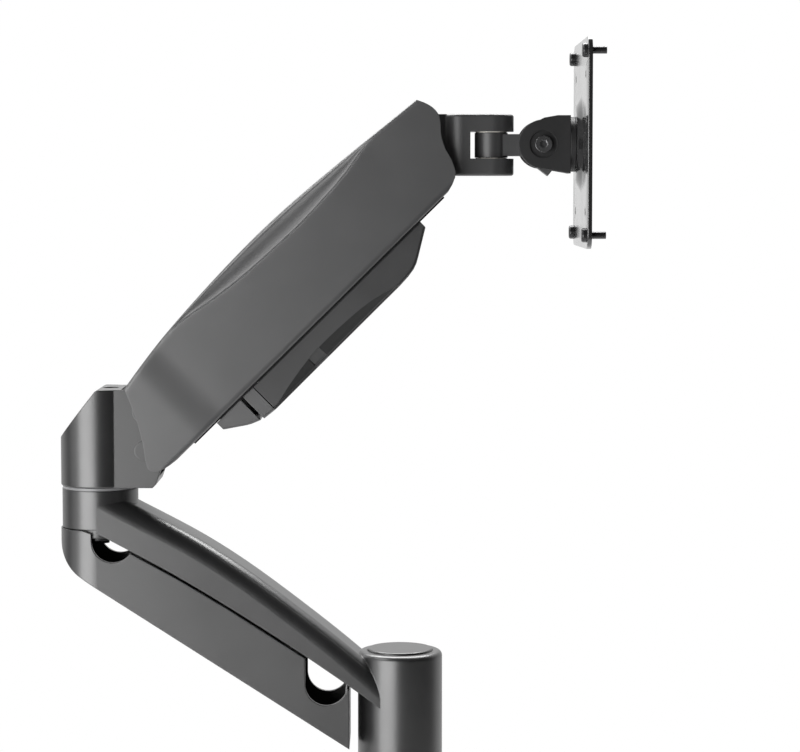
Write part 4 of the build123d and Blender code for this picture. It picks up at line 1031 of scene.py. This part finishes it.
# %% [markdown]
# ## The rubber pads
# The pad under the base is a soft sheet with a raised border and shallow grooves, so that it grips
# without sliding. The one on the clamp's disc has rings. Both start as primitives and are inset
# and pushed in where the grooves are.

# %% Make the base pad
PAD_CORNER = 14
GROOVE_DEPTH = 0.5


def make_base_pad():
    low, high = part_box("base_pad")
    start_alone()
    bpy.ops.mesh.primitive_cube_add(size=1, location=(low + high) / 2)
    pad = bpy.context.object
    pad.scale = high - low
    bpy.ops.object.transform_apply(location=True, rotation=True, scale=True)
    edit(pad)
    pick(pad, "edges", lambda e: abs((e.verts[0].co - e.verts[1].co).z) > 0.9 * (high.z - low.z))
    bpy.ops.mesh.bevel(offset=PAD_CORNER * MM, segments=12)
    pick(pad, "faces", lambda f: f.normal.z < -0.9)
    bpy.ops.mesh.inset(thickness=3.0 * MM)
    bpy.ops.mesh.inset(thickness=1.0 * MM, depth=-GROOVE_DEPTH * MM)
    bpy.ops.mesh.inset(thickness=4.0 * MM)
    bpy.ops.mesh.inset(thickness=1.0 * MM, depth=GROOVE_DEPTH * MM)
    pick(pad, "edges", lambda e: len(e.link_faces) == 2 and e.calc_face_angle(0) > radians(60)
         and max(abs(v.co.z - high.z) for v in e.verts) < 0.1 * MM)
    bpy.ops.mesh.bevel(offset=0.4 * MM, segments=3)
    bpy.ops.object.mode_set(mode="OBJECT")
    settle(pad, 40)
    return pad


stand_in(make_base_pad(), "base_rubber_pad", "base", "pad_rubber", "pad_rubber", "base_pad")


# %% Make the clamp's pad
def make_clamp_pad():
    low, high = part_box("clamp_pad_rubber")
    start_alone()
    bpy.ops.mesh.primitive_cylinder_add(vertices=96, radius=(high.x - low.x) / 2, depth=high.z - low.z,
                                        location=(low + high) / 2)
    pad = bpy.context.object
    bpy.ops.object.transform_apply(location=True, rotation=True, scale=True)
    edit(pad)
    pick(pad, "faces", lambda f: f.normal.z > 0.9)
    for _ in range(4):
        bpy.ops.mesh.inset(thickness=2.6 * MM)
        bpy.ops.mesh.inset(thickness=0.5 * MM, depth=-GROOVE_DEPTH * MM)
        bpy.ops.mesh.inset(thickness=0.8 * MM)
        bpy.ops.mesh.inset(thickness=0.5 * MM, depth=GROOVE_DEPTH * MM)
    pick(pad, "edges", lambda e: len(e.link_faces) == 2 and e.calc_face_angle(0) > radians(80))
    bpy.ops.mesh.bevel(offset=0.35 * MM, segments=3)
    bpy.ops.object.mode_set(mode="OBJECT")
    settle(pad, 40)
    return pad


stand_in(make_clamp_pad(), "clamp_rubber_pad", "clamp_pad_body", "pad_rubber", "pad_rubber",
         "clamp_pad_rubber")
